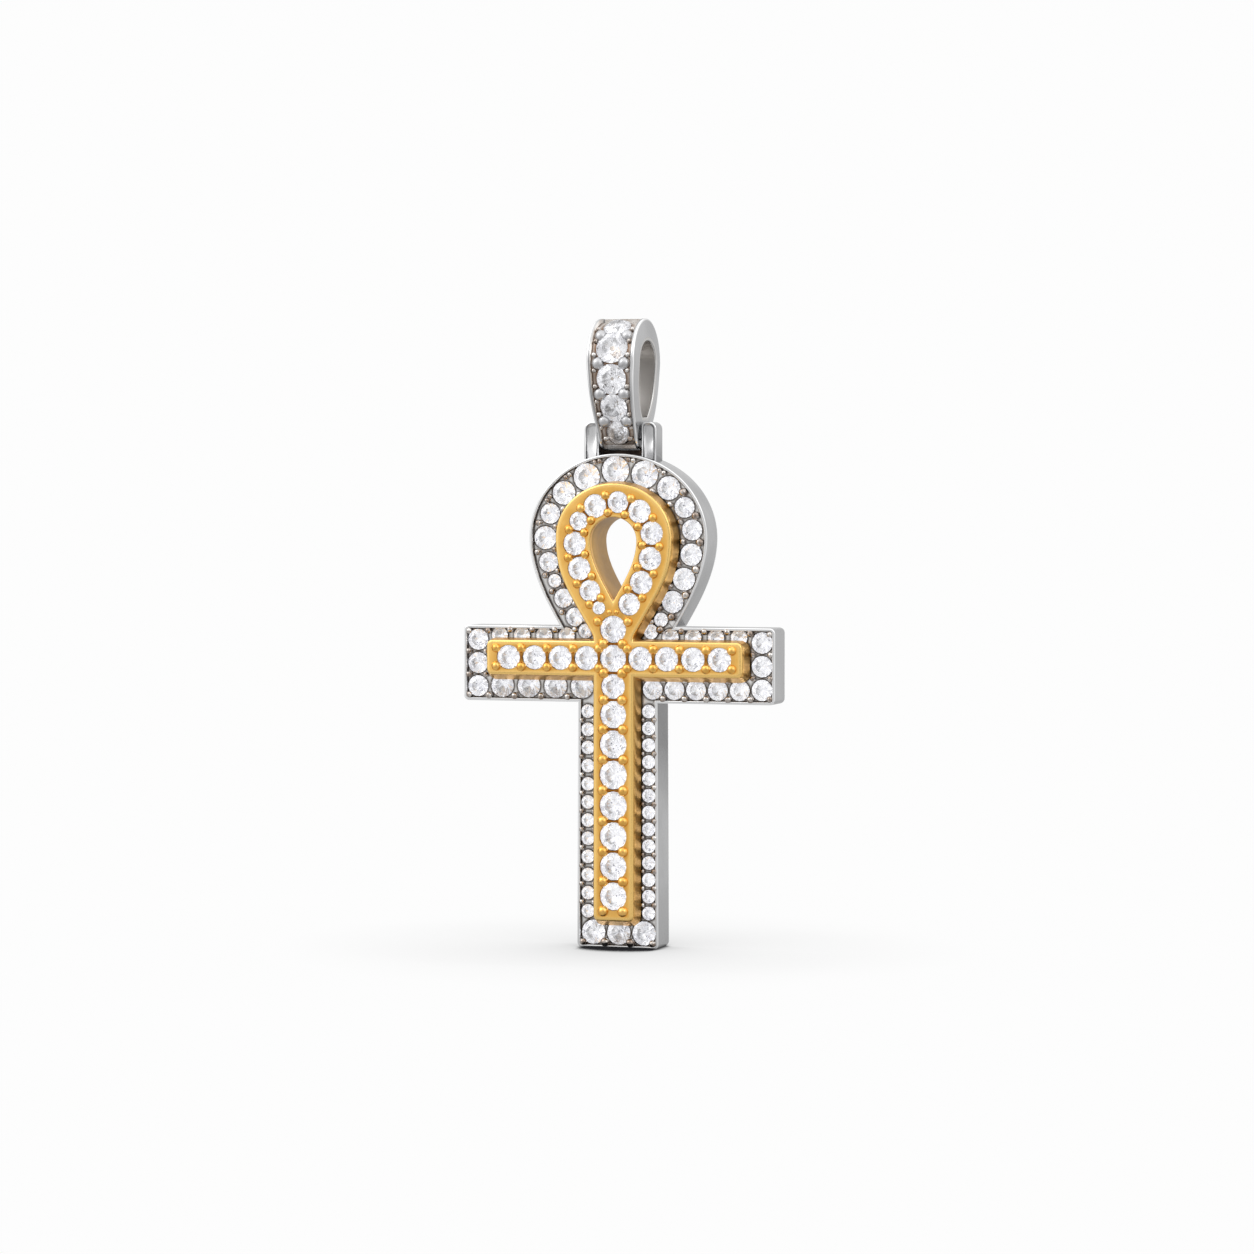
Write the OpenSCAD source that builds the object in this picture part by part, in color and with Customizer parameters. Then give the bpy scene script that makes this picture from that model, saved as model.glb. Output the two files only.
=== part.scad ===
// Two-layer ankh pendant on a stone-set bail.
// A white-metal plate carries rows of small stones, and a yellow-gold ankh stands proud of it.
// The front faces -Y and Z is up. The origin is where a chain bears inside the bail.

/* [Plate] */
// Span of the plate's arms, tip to tip
arm_span = 31; // [29:0.5:34]
// Height of the plate's arms
arm_height = 7.2; // [6.8:0.1:8]
// Width of the plate's stem just below its arms
stem_width = 7.9; // [7.6:0.1:8.6]
// Width of the plate's stem at its foot
foot_width = 8.1; // [7.7:0.1:8.8]
// From the arms' centre line down to the foot
stem_drop = 27; // [25:0.5:30]
// Thickness of the plate
plate_thickness = 3.7; // [3.2:0.1:4.6]
// Radius of the plate's outer corners
corner_radius = 0.5; // [0.3:0.05:0.8]
// Width of the rim that is left round the small stones
rim_width = 0.26; // [0.2:0.02:0.34]
// Depth of the tray that the small stones are set in
tray_depth = 0.4; // [0.3:0.05:0.5]

/* [Head] */
// Width of the plate's head at its widest level
head_width = 17.7; // [17.3:0.1:19]
// From the arms' centre line up to the head's widest level
head_level = 12; // [11.7:0.1:12.8]
// From the head's widest level up to its top
head_rise = 8; // [7.8:0.1:9]
// Width of the head where it runs into the arms
neck_width = 11.5; // [11:0.1:12]

/* [Gold ankh] */
// How far the gold ankh stands proud of the plate
gold_raise = 1.45; // [1.2:0.05:1.9]
// How far its walls lean in between base and face
gold_draft = 0.4; // [0.2:0.05:0.45]
// Span of its arms across the face
gold_arm_span = 25.3; // [23.5:0.1:25.7]
// Height of its arms across the face
gold_arm_height = 3.2; // [3:0.05:3.4]
// How far its arms sit above the plate's centre line
gold_arm_lift = 0.65; // [0.5:0.05:0.75]
// Width of its stem across the face
gold_stem_width = 3.85; // [3.6:0.05:4]
// From its foot down to the plate's foot
gold_foot_margin = 2.8; // [2.6:0.1:3.3]
// Width of its loop across the face
loop_width = 11.4; // [11:0.1:11.7]
// From the arms' centre line up to the loop's widest level
loop_level = 12.1; // [11.8:0.1:12.4]
// From the loop's widest level up to its top
loop_rise = 5.1; // [4.8:0.1:5.3]
// From the top of its arms up to where the loop's sides run into the stem
gold_neck_rise = 0.45; // [0.3:0.05:0.7]
// Width of plain metal round its rows of stones
gold_rim = 0.42; // [0.34:0.02:0.5]

/* [Drop-shaped hole] */
// Width of the hole at its widest level
hole_width = 4.6; // [4.3:0.1:4.9]
// From the arms' centre line up to the hole's widest level
hole_level = 11.8; // [11.5:0.1:12.1]
// From the hole's widest level up to its top
hole_rise = 2.2; // [2:0.1:2.4]
// From the arms' centre line up to the hole's lower point
hole_point = 6; // [5.8:0.1:6.4]
// Wall of the gold sleeve that lines the hole through the plate
sleeve_wall = 0.5; // [0.4:0.05:0.6]
// Gap between the sleeve and the plate
sleeve_gap = 0.05; // [0.03:0.01:0.1]

/* [Stones] */
// Gap between neighbouring stones
stone_gap = 0.2; // [0.16:0.01:0.26]
// Clearance between a stone and the seat cut for it
seat_gap = 0.03; // [0.02:0.01:0.04]
// How far the gold ankh's and the bail's stones stand proud of the metal round them
stone_proud = 0.2; // [0.15:0.05:0.3]
// Stones along each gold arm
arm_stones = 4; // [3:1:5]
// Stones across each end of the plate's arms
end_stones = 3; // [2:1:4]
// Stones along the upper edge of each plate arm
upper_stones = 4; // [3:1:4]
// Stones along the lower edge of the left plate arm
lower_left_stones = 4; // [3:1:5]
// Stones along the lower edge of the right plate arm
lower_right_stones = 5; // [4:1:5]
// Stones down the left side of the plate's stem
side_left_stones = 12; // [9:1:13]
// Stones down the right side of the plate's stem
side_right_stones = 13; // [9:1:13]
// Stones across the foot
foot_stones = 3; // [2:1:4]

/* [Bail] */
// Height of the bail, from the bottom of its eye to its top
bail_height = 12.5; // [12:0.1:13.5]
// Depth of the bail, front to back
bail_depth = 8.4; // [8.2:0.1:9.2]
// Width of the bail from its widest level up
bail_top_width = 4.7; // [4.4:0.05:5.2]
// Width of the bail at its eye
bail_eye_width = 3.75; // [3.5:0.05:4]
// Thickness of the bail's stone-set front
bail_front_wall = 2.1; // [1.9:0.1:2.3]
// Thickness of the bail's plain back
bail_back_wall = 1.3; // [1:0.1:1.4]
// Thickness of the bail over its top
bail_top_wall = 2.1; // [2:0.1:2.4]
// Depth of the channel that the bail's stones stand in
channel_depth = 0.3; // [0.2:0.05:0.4]
// Width of the border at each side of the bail's stones
bail_rim = 0.35; // [0.25:0.05:0.45]

/* [Hinge] */
// Diameter of the pin that the bail swings on
pin_diameter = 1.1; // [0.9:0.1:1.2]
// Radial clearance of the bail's eye on the pin
eye_gap = 0.06; // [0.04:0.01:0.09]
// Radial clearance of the pin in the ears
ear_bore_gap = 0.02; // [0.01:0.01:0.03]
// Metal round the pin in the bail's eye
eye_wall = 0.84; // [0.74:0.02:0.94]
// Gap between the bail's eye and the top of the head
head_gap = 0.3; // [0.25:0.05:0.5]
// Gap between the bail's eye and each ear
ear_side_gap = 0.25; // [0.15:0.05:0.4]
// Width of each ear
ear_width = 1.45; // [1.2:0.05:1.7]
// Depth of each ear, front to back
ear_depth = 2.1; // [1.8:0.1:2.6]
// From the pin's axis up to the top of the ears
ear_rise = 1.25; // [1.1:0.05:1.5]
// Metal that closes the pin's bore at the outside of each ear
ear_skin = 0.35; // [0.25:0.05:0.5]

/* [Hidden] */
SILVER = [0.79, 0.79, 0.8];
GOLD = [0.86, 0.62, 0.22];
STONE = [0.93, 0.94, 0.98];
SEAT_FN = 40;
GRAIN_FN = 32;
PIN_FN = 64;
CURVE_STEPS = 14;
CORNER_STEPS = 5;
CUT_PAST = 1;                // how far a cut runs past the face that it opens
LEAST_CORNER = 0.1;

// Shape of a loop's lower side: how far its two Bezier handles reach, as shares of the fall
HEAD_BELLY = [0.4, 0.35, 0.22];
GOLD_BELLY = [0.42, 0.65, 0.46];
HOLE_BELLY = [0.36, 0.45, 0.33];
BAIL_BELLY = [0.53, 0.71, 0.13];
WAY_BELLY = [0.5, 0.75, 0.25];
WAY_CROWN = 0.88;            // rise of the bail's opening above its widest level, in its half depth
WAY_FOOT = 0.32;             // half width of the opening's foot, in its half depth
WAY_FLOOR = 0.33;            // how far its foot stands above the eye, in the eye's wall
NECK_LEAN = 1.5;             // how far an inset moves the head's foot in, in insets

// Proportions of a cut stone, as shares of its diameter
TABLE = 0.56;
STAR = 0.78;                 // where the star facets end, as a share of the radius
CROWN = 0.15;
STAR_RISE = 0.085;
GIRDLE = 0.03;
PAVILION = 0.41;
MAIN_SIDES = 12;             // sides of a stone that is a piece of its own
FIELD_SIDES = 8;             // sides of the plate's small stones

// Widths of the gold loop's stones, lower left round to lower right, as shares of a full one
LOOP_SHARES = [0.56, 0.93, 1, 1, 0.8, 1, 0.92, 1, 1, 1, 1, 0.95];
// Widths of the gold stem's stones, top to foot, as shares of a full one
STEM_SHARES = [0.86, 0.95, 0.98, 1, 1, 0.98, 0.97, 0.97];
// Widths of the plate head's stones, lower left round to lower right, as shares of the top one
HEAD_SHARES = [0.52, 0.66, 0.68, 0.48, 0.7, 0.82, 0.72, 0.84, 0.97, 1,
               0.97, 0.84, 0.73, 0.73, 0.78, 0.8, 0.78, 0.5, 0.52];
// Widths of the bail's stones, from its eye up over its top, as shares of a full one
BAIL_SHARES = [0.8, 0.92, 1, 1, 1];

GRAIN_SIDE = 0.37;           // how far a grain stands off its row's line, in stone widths
EDGE_GRAIN_SIDE = 0.46;      // the same in the stem's side rows, whose grains run into the rim
BORDER_GRAIN_SIDE = 0.45;    // the same in the gold's arms and loop and the plate's lower rows
GRAIN_SIZE = 0.16;           // largest radius of a grain, in stone widths
GRAIN_GAP = 0.02;            // least gap between a grain and a seat
GRAIN_LEAST = 0.09;          // radius below which there is no grain
ROW_END = 0.45;              // metal between a gold row's end stone and its margin
PEDESTAL_INSET = 0.65;       // how far the plate's pedestal lies in from the gold's face
LOOP_ROW_FOOT = 0.27;        // where the gold loop's row ends, as a share of its half width
LOOP_ROW_IN = 0.15;          // how far the gold loop's row lies in from the middle of its band
HEAD_ROW_FOOT = 0.34;        // where the head's row ends, as a share of the way across the neck
HEAD_ROW_DROP = 0.8;         // how far below the rim of the arms it ends
HEAD_ROW_GAP = 1.5;          // gap between its stones, in stone gaps
HEAD_ROW_INSET = 0.42;       // how far the head's row lies inside the tray's edge, in its top stone
EAR_CORNER = 0.4;            // radius of an ear's upper corners, as a share of its width
EAR_ROOT = 0.75;             // where the ears start inside the head, as a share of its rise
CHANNEL_OVER = 0.18;         // how far the bail's channel runs behind its top, in its depth

half_arm = arm_height / 2;
tray_top = half_arm - rim_width;
tray_end = arm_span / 2 - rim_width;
tray_foot = -stem_drop + rim_width;
gold_top = gold_arm_lift + gold_arm_height / 2;
gold_bottom = gold_arm_lift - gold_arm_height / 2;
gold_neck = gold_top + gold_neck_rise;
gold_foot = -stem_drop + gold_foot_margin;
gold_half_stem = gold_stem_width / 2;
base_half_stem = gold_half_stem + gold_draft;
mid_depth = plate_thickness / 2;
pedestal_top = gold_top - PEDESTAL_INSET;
pedestal_foot = gold_foot + PEDESTAL_INSET;

// The eye is round about the pin, and the pin's place follows from the head.
eye_radius = pin_diameter / 2 + eye_gap + eye_wall;
pin_level = head_level + head_rise + head_gap + eye_radius;
bail_top = pin_level - eye_radius + bail_height;
bail_level = bail_top - bail_depth / 2;
way_half = (bail_depth - bail_front_wall - bail_back_wall) / 2;
way_shift = (bail_front_wall - bail_back_wall) / 2;
way_top = bail_top - bail_top_wall;
way_rise = way_half * WAY_CROWN;
way_foot = [way_half * WAY_FOOT, pin_level + eye_radius + eye_wall * WAY_FLOOR];
ear_inner = bail_eye_width / 2 + ear_side_gap;
ear_outer = ear_inner + ear_width;
pin_reach = ear_outer - ear_skin;
chain_seat = [0, mid_depth + way_shift, way_top];

// How deep the gold ankh's stones lie: their tables, and the points of their pavilions
gold_table = -gold_raise - stone_proud;
function gold_stone_foot(stone) = gold_table + (CROWN + GIRDLE + PAVILION) * stone[2];

function total(v, i = 0) = i < len(v) ? v[i] + total(v, i + 1) : 0;
function running(v) = [for (i = 0, s = 0; i <= len(v); s = s + (i < len(v) ? v[i] : 0), i = i + 1) s];
function bezier(p, t) =
    pow(1 - t, 3) * p[0] + 3 * pow(1 - t, 2) * t * p[1] + 3 * (1 - t) * t * t * p[2] + pow(t, 3) * p[3];
function mirrored(half) =
    concat(half, [for (i = [len(half) - 1:-1:0]) if (half[i].x != 0) [-half[i].x, half[i].y]]);
// A half outline that starts at the top centre, run from its left foot over its top to its right foot.
function both_ways(half) =
    concat([for (i = [len(half) - 1:-1:1]) [-half[i].x, half[i].y]], half);

// Right half of a loop: an elliptical crown down to its widest level, then a side that falls to its foot.
function loop_half(half_width, rise, level, foot, belly) =
    let (fall = level - foot.y,
         handles = [[half_width, level], [half_width, level - belly[0] * fall],
                    [foot.x + belly[1] * (half_width - foot.x), foot.y + belly[2] * fall], foot])
    concat([for (i = [0:CURVE_STEPS])
                [half_width * sin(90 * i / CURVE_STEPS), level + rise * cos(90 * i / CURVE_STEPS)]],
           [for (i = [1:CURVE_STEPS]) bezier(handles, i / CURVE_STEPS)]);

// Points of a square corner at c, rounded with radius r, whose edges arrive along a and leave along b
function rounded(c, a, b, r) =
    let (centre = c - r * a + r * b)
    [for (i = [0:CORNER_STEPS])
        let (t = 90 * i / CORNER_STEPS)
        centre + r * (a * sin(t) - b * cos(t))];

// Right half of the plate's outline, drawn in by inset
function plate_half(inset = 0) =
    let (r = max(corner_radius - inset, LEAST_CORNER), top = half_arm - inset, end = arm_span / 2 - inset)
    concat(
        loop_half(head_width / 2 - inset, head_rise - inset, head_level,
                  [neck_width / 2 - NECK_LEAN * inset, top], HEAD_BELLY),
        rounded([end, top], [1, 0], [0, -1], r),
        rounded([end, -top], [0, -1], [-1, 0], r),
        [[stem_width / 2 - inset, -top]],
        rounded([foot_width / 2 - inset, -stem_drop + inset], [0, -1], [-1, 0], r));

function gold_loop_half(grow) = loop_half(
    loop_width / 2 + grow, loop_rise + grow, loop_level, [gold_half_stem + grow, gold_neck], GOLD_BELLY);
function bar_half(half_width, top, bottom) =
    [[0, top], [half_width, top], [half_width, bottom], [0, bottom]];
function gold_arm_half(grow) = bar_half(gold_arm_span / 2 + grow, gold_top + grow, gold_bottom - grow);
function gold_stem_half(grow) = bar_half(gold_half_stem + grow, gold_neck + gold_rim, gold_foot - grow);
function hole_half(grow) = loop_half(
    hole_width / 2 + grow, hole_rise + grow, hole_level, [0, hole_point - 2 * grow], HOLE_BELLY);

// Placing stones. A stone is [x, z, diameter], and a path is a list of points.
function path_lengths(p) = running([for (i = [0:len(p) - 2]) norm(p[i + 1] - p[i])]);
function step_at(p, lengths, s) = min(len([for (c = lengths) if (c <= s) c]) - 1, len(p) - 2);
function along(p, lengths, s) =
    let (i = step_at(p, lengths, s))
    p[i] + (s - lengths[i]) / (lengths[i + 1] - lengths[i]) * (p[i + 1] - p[i]);
function heading(p, lengths, s) =
    let (i = step_at(p, lengths, s))
    (p[i + 1] - p[i]) / norm(p[i + 1] - p[i]);
// How far along path p each stone's centre is, with its diameter, for a row that fills p
function filled_row(p, shares, gap = stone_gap) =
    let (lengths = path_lengths(p),
         unit = (lengths[len(p) - 1] - gap * len(shares)) / total(shares),
         ends = running([for (w = shares) w * unit + gap]))
    [for (i = [0:len(shares) - 1]) [(ends[i] + ends[i + 1]) / 2, shares[i] * unit]];
function path_row(p, shares, gap = stone_gap) =
    let (lengths = path_lengths(p))
    [for (s = filled_row(p, shares, gap)) concat(along(p, lengths, s[0]), [s[1]])];
// A straight row of count stones between a and b, as large as their pitch and the width across allow
function straight_row(a, b, count, across) =
    let (pitch = norm(b - a) / count)
    [for (i = [0:count - 1]) concat(a + (b - a) * (i + 0.5) / count, [min(across, pitch - stone_gap)])];

// Grains between the stones of a row, [x, z, radius], on the sides given: 1 is left of the row's way.
function grain_radius(p, stones) =
    min([for (s = stones)
        min(GRAIN_SIZE * s[2], norm(p - [s.x, s.y]) - s[2] / 2 - seat_gap - GRAIN_GAP)]);
function grains_beside(at, way, stones, sides, reach) =
    [for (side = sides)
        let (width = total([for (s = stones) s[2]]) / len(stones),
             p = at + side * reach * width * [-way.y, way.x],
             r = grain_radius(p, stones))
        if (r > GRAIN_LEAST) concat(p, [r])];
function row_grains(row, sides = [-1, 1], reach = GRAIN_SIDE) =
    [for (i = [0:len(row) - 2])
        let (a = [row[i].x, row[i].y],
             b = [row[i + 1].x, row[i + 1].y],
             way = (b - a) / norm(b - a),
             at = a + way * (norm(b - a) + row[i][2] / 2 - row[i + 1][2] / 2) / 2)
        each grains_beside(at, way, [row[i], row[i + 1]], sides, reach)];
function end_grains(stone, way, reach = GRAIN_SIDE) =
    grains_beside([stone.x, stone.y] + way * (stone[2] + stone_gap) / 2, way, [stone], [-1, 1], reach);

// Rows of the gold ankh
centre_size = gold_arm_height - 2 * gold_rim + stone_gap;
centre_stone = [0, gold_arm_lift, centre_size];
junction_stone = [0, gold_arm_lift + centre_size + stone_gap, centre_size];
row_edge = (centre_size + stone_gap) / 2;
stem_row = path_row([[0, gold_arm_lift - row_edge], [0, gold_foot + gold_rim + ROW_END]], STEM_SHARES);
function arm_row(side) = straight_row(
    [side * row_edge, gold_arm_lift], [side * (gold_arm_span / 2 - gold_rim - ROW_END), gold_arm_lift],
    arm_stones, gold_arm_height - 2 * gold_rim - 2 * seat_gap);
band_half = (loop_width + hole_width) / 4 - LOOP_ROW_IN;
band_top = (loop_level + loop_rise + hole_level + hole_rise) / 2 - LOOP_ROW_IN;
loop_path = both_ways(loop_half(
    band_half, band_top - loop_level, loop_level,
    [band_half * LOOP_ROW_FOOT, junction_stone.y + (centre_size + stone_gap) / 2], GOLD_BELLY));
loop_row = path_row(loop_path, LOOP_SHARES);

// Rows of the plate
end_pitch = 2 * tray_top / end_stones;
end_size = min(end_pitch - stone_gap, tray_end - gold_arm_span / 2 - 2 * seat_gap);
end_x = tray_end - 2 * seat_gap - end_size / 2;
row_outer = end_x - end_size / 2 - stone_gap / 2;
foot_pitch = (foot_width - 2 * rim_width) / foot_stones;
foot_size = min(foot_pitch - stone_gap, pedestal_foot - tray_foot - 4 * seat_gap);
side_mid = (base_half_stem + (stem_width + foot_width) / 4 - rim_width) / 2;
side_fit = stem_width / 2 - rim_width - base_half_stem - 2 * seat_gap;
top_size = head_level + head_rise - rim_width - (loop_level + loop_rise - PEDESTAL_INSET) - 6 * seat_gap;
head_path = both_ways(loop_half(
    (loop_width / 2 + gold_draft + head_width / 2 - rim_width) / 2,
    head_rise - rim_width - seat_gap - top_size * HEAD_ROW_INSET, head_level,
    [(base_half_stem + neck_width / 2) * HEAD_ROW_FOOT, tray_top - rim_width - HEAD_ROW_DROP], HEAD_BELLY));
head_row = path_row(head_path, HEAD_SHARES, HEAD_ROW_GAP * stone_gap);
head_end = max([for (s = [head_row[0], head_row[len(head_row) - 1]]) abs(s.x) + s[2] / 2]);
function end_column(side) =
    [for (i = [0:end_stones - 1]) [side * end_x, tray_top - (i + 0.5) * end_pitch, end_size]];
function upper_row(side) =
    let (row = straight_row([side * row_outer, 0], [side * (head_end + stone_gap / 2), 0], upper_stones,
                            tray_top - pedestal_top - 4 * seat_gap))
    [for (s = row) [s.x, tray_top - 2 * seat_gap - s[2] / 2, s[2]]];
function lower_row(side, count) =
    let (row = straight_row([side * row_outer, 0], [side * base_half_stem, 0], count,
                            gold_bottom + tray_top - 4 * seat_gap))
    [for (s = row) [s.x, -tray_top + 2 * seat_gap + s[2] / 2, s[2]]];
function side_row(side, count) = straight_row(
    [side * side_mid, -half_arm], [side * side_mid, tray_foot + seat_gap + foot_size], count, side_fit);
foot_row = [for (i = [0:foot_stones - 1])
    [(i + 0.5) * foot_pitch - foot_width / 2 + rim_width, tray_foot + 2 * seat_gap + foot_size / 2, foot_size]];

plate_stones = concat(
    head_row, end_column(-1), end_column(1), upper_row(-1), upper_row(1),
    lower_row(-1, lower_left_stones), lower_row(1, lower_right_stones),
    side_row(-1, side_left_stones), side_row(1, side_right_stones), foot_row);
plate_grains = concat(
    row_grains(head_row), row_grains(end_column(-1)), row_grains(end_column(1)),
    row_grains(upper_row(-1), [-1]), row_grains(upper_row(1), [1]),
    row_grains(lower_row(-1, lower_left_stones), reach = BORDER_GRAIN_SIDE),
    row_grains(lower_row(1, lower_right_stones), reach = BORDER_GRAIN_SIDE),
    row_grains(side_row(-1, side_left_stones), reach = EDGE_GRAIN_SIDE),
    row_grains(side_row(1, side_right_stones), reach = EDGE_GRAIN_SIDE),
    row_grains(foot_row));
gold_stones = concat([centre_stone, junction_stone], stem_row, arm_row(-1), arm_row(1), loop_row);
gold_grains = concat(
    row_grains(concat([junction_stone, centre_stone], stem_row)),
    row_grains(loop_row, reach = BORDER_GRAIN_SIDE),
    end_grains(stem_row[len(stem_row) - 1], [0, -1]),
    [for (side = [-1, 1]) each concat(
        row_grains(concat([centre_stone], arm_row(side)), reach = BORDER_GRAIN_SIDE),
        end_grains(arm_row(side)[arm_stones - 1], [side, 0], BORDER_GRAIN_SIDE))]);

// The bail's outline and row are drawn in [depth, height], with the front positive.
// In the row, a stone is [0, how far up the climb, diameter].
function bail_half(inset = 0) = concat(
    loop_half(bail_depth / 2 - inset, bail_depth / 2 - inset, bail_level, [eye_radius - inset, pin_level], BAIL_BELLY),
    [for (i = [1:2 * CORNER_STEPS])
        let (t = 90 * i / (2 * CORNER_STEPS))
        [(eye_radius - inset) * cos(t), pin_level - (eye_radius - inset) * sin(t)]]);
way_outline = mirrored(loop_half(way_half, way_rise, way_top - way_rise, way_foot, WAY_BELLY));
bail_climb = let (half = bail_half()) [for (i = [2 * CURVE_STEPS:-1:0]) half[i]];
climb_lengths = path_lengths(bail_climb);
bail_row = [for (s = filled_row(bail_climb, BAIL_SHARES)) [0, s[0], s[1]]];
bail_grains = row_grains(bail_row);

// Puts the chain's seat at the origin.
module hung() {
    translate(-chain_seat) children();
}

// Stands a flat outline, drawn in X and Z, up between two depths.
module slab(front, back) {
    translate([0, back, 0]) rotate([90, 0, 0]) linear_extrude(height = back - front) children();
}

// Runs a flat outline, drawn in Y and Z about the plate's middle, from side to side.
module across(half_width) {
    translate([-half_width, mid_depth, 0]) rotate([90, 0, 90])
        linear_extrude(height = 2 * half_width) children();
}

module gold_outline(grow) {
    polygon(mirrored(gold_loop_half(grow)));
    polygon(mirrored(gold_arm_half(grow)));
    polygon(mirrored(gold_stem_half(grow)));
}

// A block on the plate whose outline is half_in at the gold's face and half_out at its base
module leaning_block(half_in, half_out) {
    face = mirrored(half_in);
    base = mirrored(half_out);
    n = len(face);
    polyhedron(
        points = concat([for (p = face) [p.x, -gold_raise, p.y]], [for (p = base) [p.x, 0, p.y]]),
        faces = concat(
            [for (i = [1:n - 2]) [0, i, i + 1]],
            [for (i = [1:n - 2]) [n, n + i + 1, n + i]],
            [for (i = [0:n - 1]) let (j = (i + 1) % n) each [[i, n + i, n + j], [i, n + j, j]]]));
}

// A cut stone with its table up and its girdle's upper edge at the origin
module cut_stone(d, sides) {
    turn = 360 / sides;
    function ring(share, level, skew) =
        [for (k = [0:sides - 1])
            [d / 2 * share * cos(turn * (k + skew)), d / 2 * share * sin(turn * (k + skew)), level * d]];
    polyhedron(
        points = concat(
            ring(TABLE, CROWN, 0.5), ring(STAR, STAR_RISE, 0), ring(1, 0, 0.5), ring(1, -GIRDLE, 0.5),
            [[0, 0, -(GIRDLE + PAVILION) * d]]),
        faces = concat(
            [for (k = [1:sides - 2]) [0, k + 1, k]],
            [for (k = [0:sides - 1])
                let (j = (k + 1) % sides)
                each [
                    [k, j, sides + j], [sides + k, k, sides + j],
                    [sides + k, sides + j, 2 * sides + k], [2 * sides + k, sides + j, 2 * sides + j],
                    [2 * sides + k, 2 * sides + j, 3 * sides + j], [2 * sides + k, 3 * sides + j, 3 * sides + k],
                    [3 * sides + k, 3 * sides + j, 4 * sides]]]));
}

// The cut that seats such a stone, open upwards
module seat(d) {
    radius = d / 2 + seat_gap;
    depth = PAVILION * d + seat_gap;
    top = CROWN * d + CUT_PAST;
    rotate_extrude($fn = SEAT_FN)
        polygon([[0, -GIRDLE * d - depth], [radius, -GIRDLE * d], [radius, top], [0, top]]);
}

// Puts what is drawn about the origin on the front of the plate, its table level at the depth given.
module on_front(stone, table_depth) {
    translate([stone.x, table_depth + CROWN * stone[2], stone.y]) rotate([90, 0, 0]) children();
}

// Puts what is drawn about the origin on the bail, off the surface by lift and across it by side.
module on_bail(climb, side, lift) {
    way = heading(bail_climb, climb_lengths, climb);
    at = along(bail_climb, climb_lengths, climb);
    translate([side, mid_depth - at.x, at.y])
        rotate([90 + atan2(way.x, way.y), 0, 0])
            translate([0, 0, lift]) children();
}

module grain(radius) {
    sphere(r = radius, $fn = GRAIN_FN);
}

module ear(side) {
    corner = ear_width * EAR_CORNER;
    top = pin_level + ear_rise;
    slab(mid_depth - ear_depth / 2, mid_depth + ear_depth / 2)
        translate([side * (ear_inner + ear_outer) / 2, 0])
            polygon(mirrored(concat(
                [[0, top]], rounded([ear_width / 2, top], [1, 0], [0, -1], corner),
                [[ear_width / 2, head_level + EAR_ROOT * head_rise]])));
}

module plate_metal() {
    difference() {
        union() {
            slab(0, plate_thickness) polygon(mirrored(plate_half()));
            for (side = [-1, 1]) ear(side);
        }
        slab(-CUT_PAST, tray_depth) difference() {
            polygon(mirrored(plate_half(rim_width)));
            gold_outline(-PEDESTAL_INSET);
        }
        slab(-CUT_PAST, plate_thickness + CUT_PAST) polygon(mirrored(hole_half(sleeve_wall + sleeve_gap)));
        for (s = plate_stones) on_front(s, seat_gap) seat(s[2]);
        for (s = gold_stones)
            if (gold_stone_foot(s) > -seat_gap) on_front(s, gold_table) seat(s[2]);
        translate([-pin_reach, mid_depth, pin_level]) rotate([0, 90, 0])
            cylinder(d = pin_diameter + 2 * ear_bore_gap, h = 2 * pin_reach, $fn = PIN_FN);
    }
}

module base_plate() {
    color(SILVER) {
        plate_metal();
        for (g = plate_grains)
            translate([g.x, max(tray_depth, g[2] + seat_gap), g.y]) grain(g[2]);
    }
}

module gold_ankh() {
    color(GOLD) {
        difference() {
            union() {
                leaning_block(gold_loop_half(0), gold_loop_half(gold_draft));
                leaning_block(gold_arm_half(0), gold_arm_half(gold_draft));
                leaning_block(gold_stem_half(0), gold_stem_half(gold_draft));
                slab(-gold_raise / 2, plate_thickness) polygon(mirrored(hole_half(sleeve_wall)));
            }
            slab(-gold_raise - CUT_PAST, plate_thickness + CUT_PAST) polygon(mirrored(hole_half(0)));
            for (s = gold_stones) on_front(s, gold_table) seat(s[2]);
        }
        for (g = gold_grains)
            translate([g.x, -gold_raise, g.y]) grain(g[2]);
    }
}

module hinge_pin() {
    color(SILVER)
        translate([-pin_reach + ear_bore_gap, mid_depth, pin_level]) rotate([0, 90, 0])
            cylinder(d = pin_diameter, h = 2 * (pin_reach - ear_bore_gap), $fn = PIN_FN);
}

// The bail's outline from the front, drawn in by inset at each side
module bail_face(inset) {
    top = bail_top_width / 2 - inset;
    eye = bail_eye_width / 2 - inset;
    polygon([[-top, bail_top + CUT_PAST], [top, bail_top + CUT_PAST], [top, bail_level],
             [eye, pin_level - eye_radius], [eye, pin_level - eye_radius - CUT_PAST],
             [-eye, pin_level - eye_radius - CUT_PAST], [-eye, pin_level - eye_radius], [-top, bail_level]]);
}

module bail_body() {
    intersection() {
        across(bail_top_width) polygon(mirrored(bail_half()));
        slab(mid_depth - bail_depth, mid_depth + bail_depth) bail_face(0);
    }
}

// The channel that the bail's stones stand in, up its front and over its top
module bail_channel() {
    intersection() {
        across(bail_top_width) difference() {
            translate([-bail_depth, pin_level]) square([bail_depth * (1 + CHANNEL_OVER), bail_height]);
            polygon(mirrored(bail_half(channel_depth)));
        }
        slab(mid_depth - bail_depth, mid_depth + bail_depth) bail_face(bail_rim);
    }
}

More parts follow.
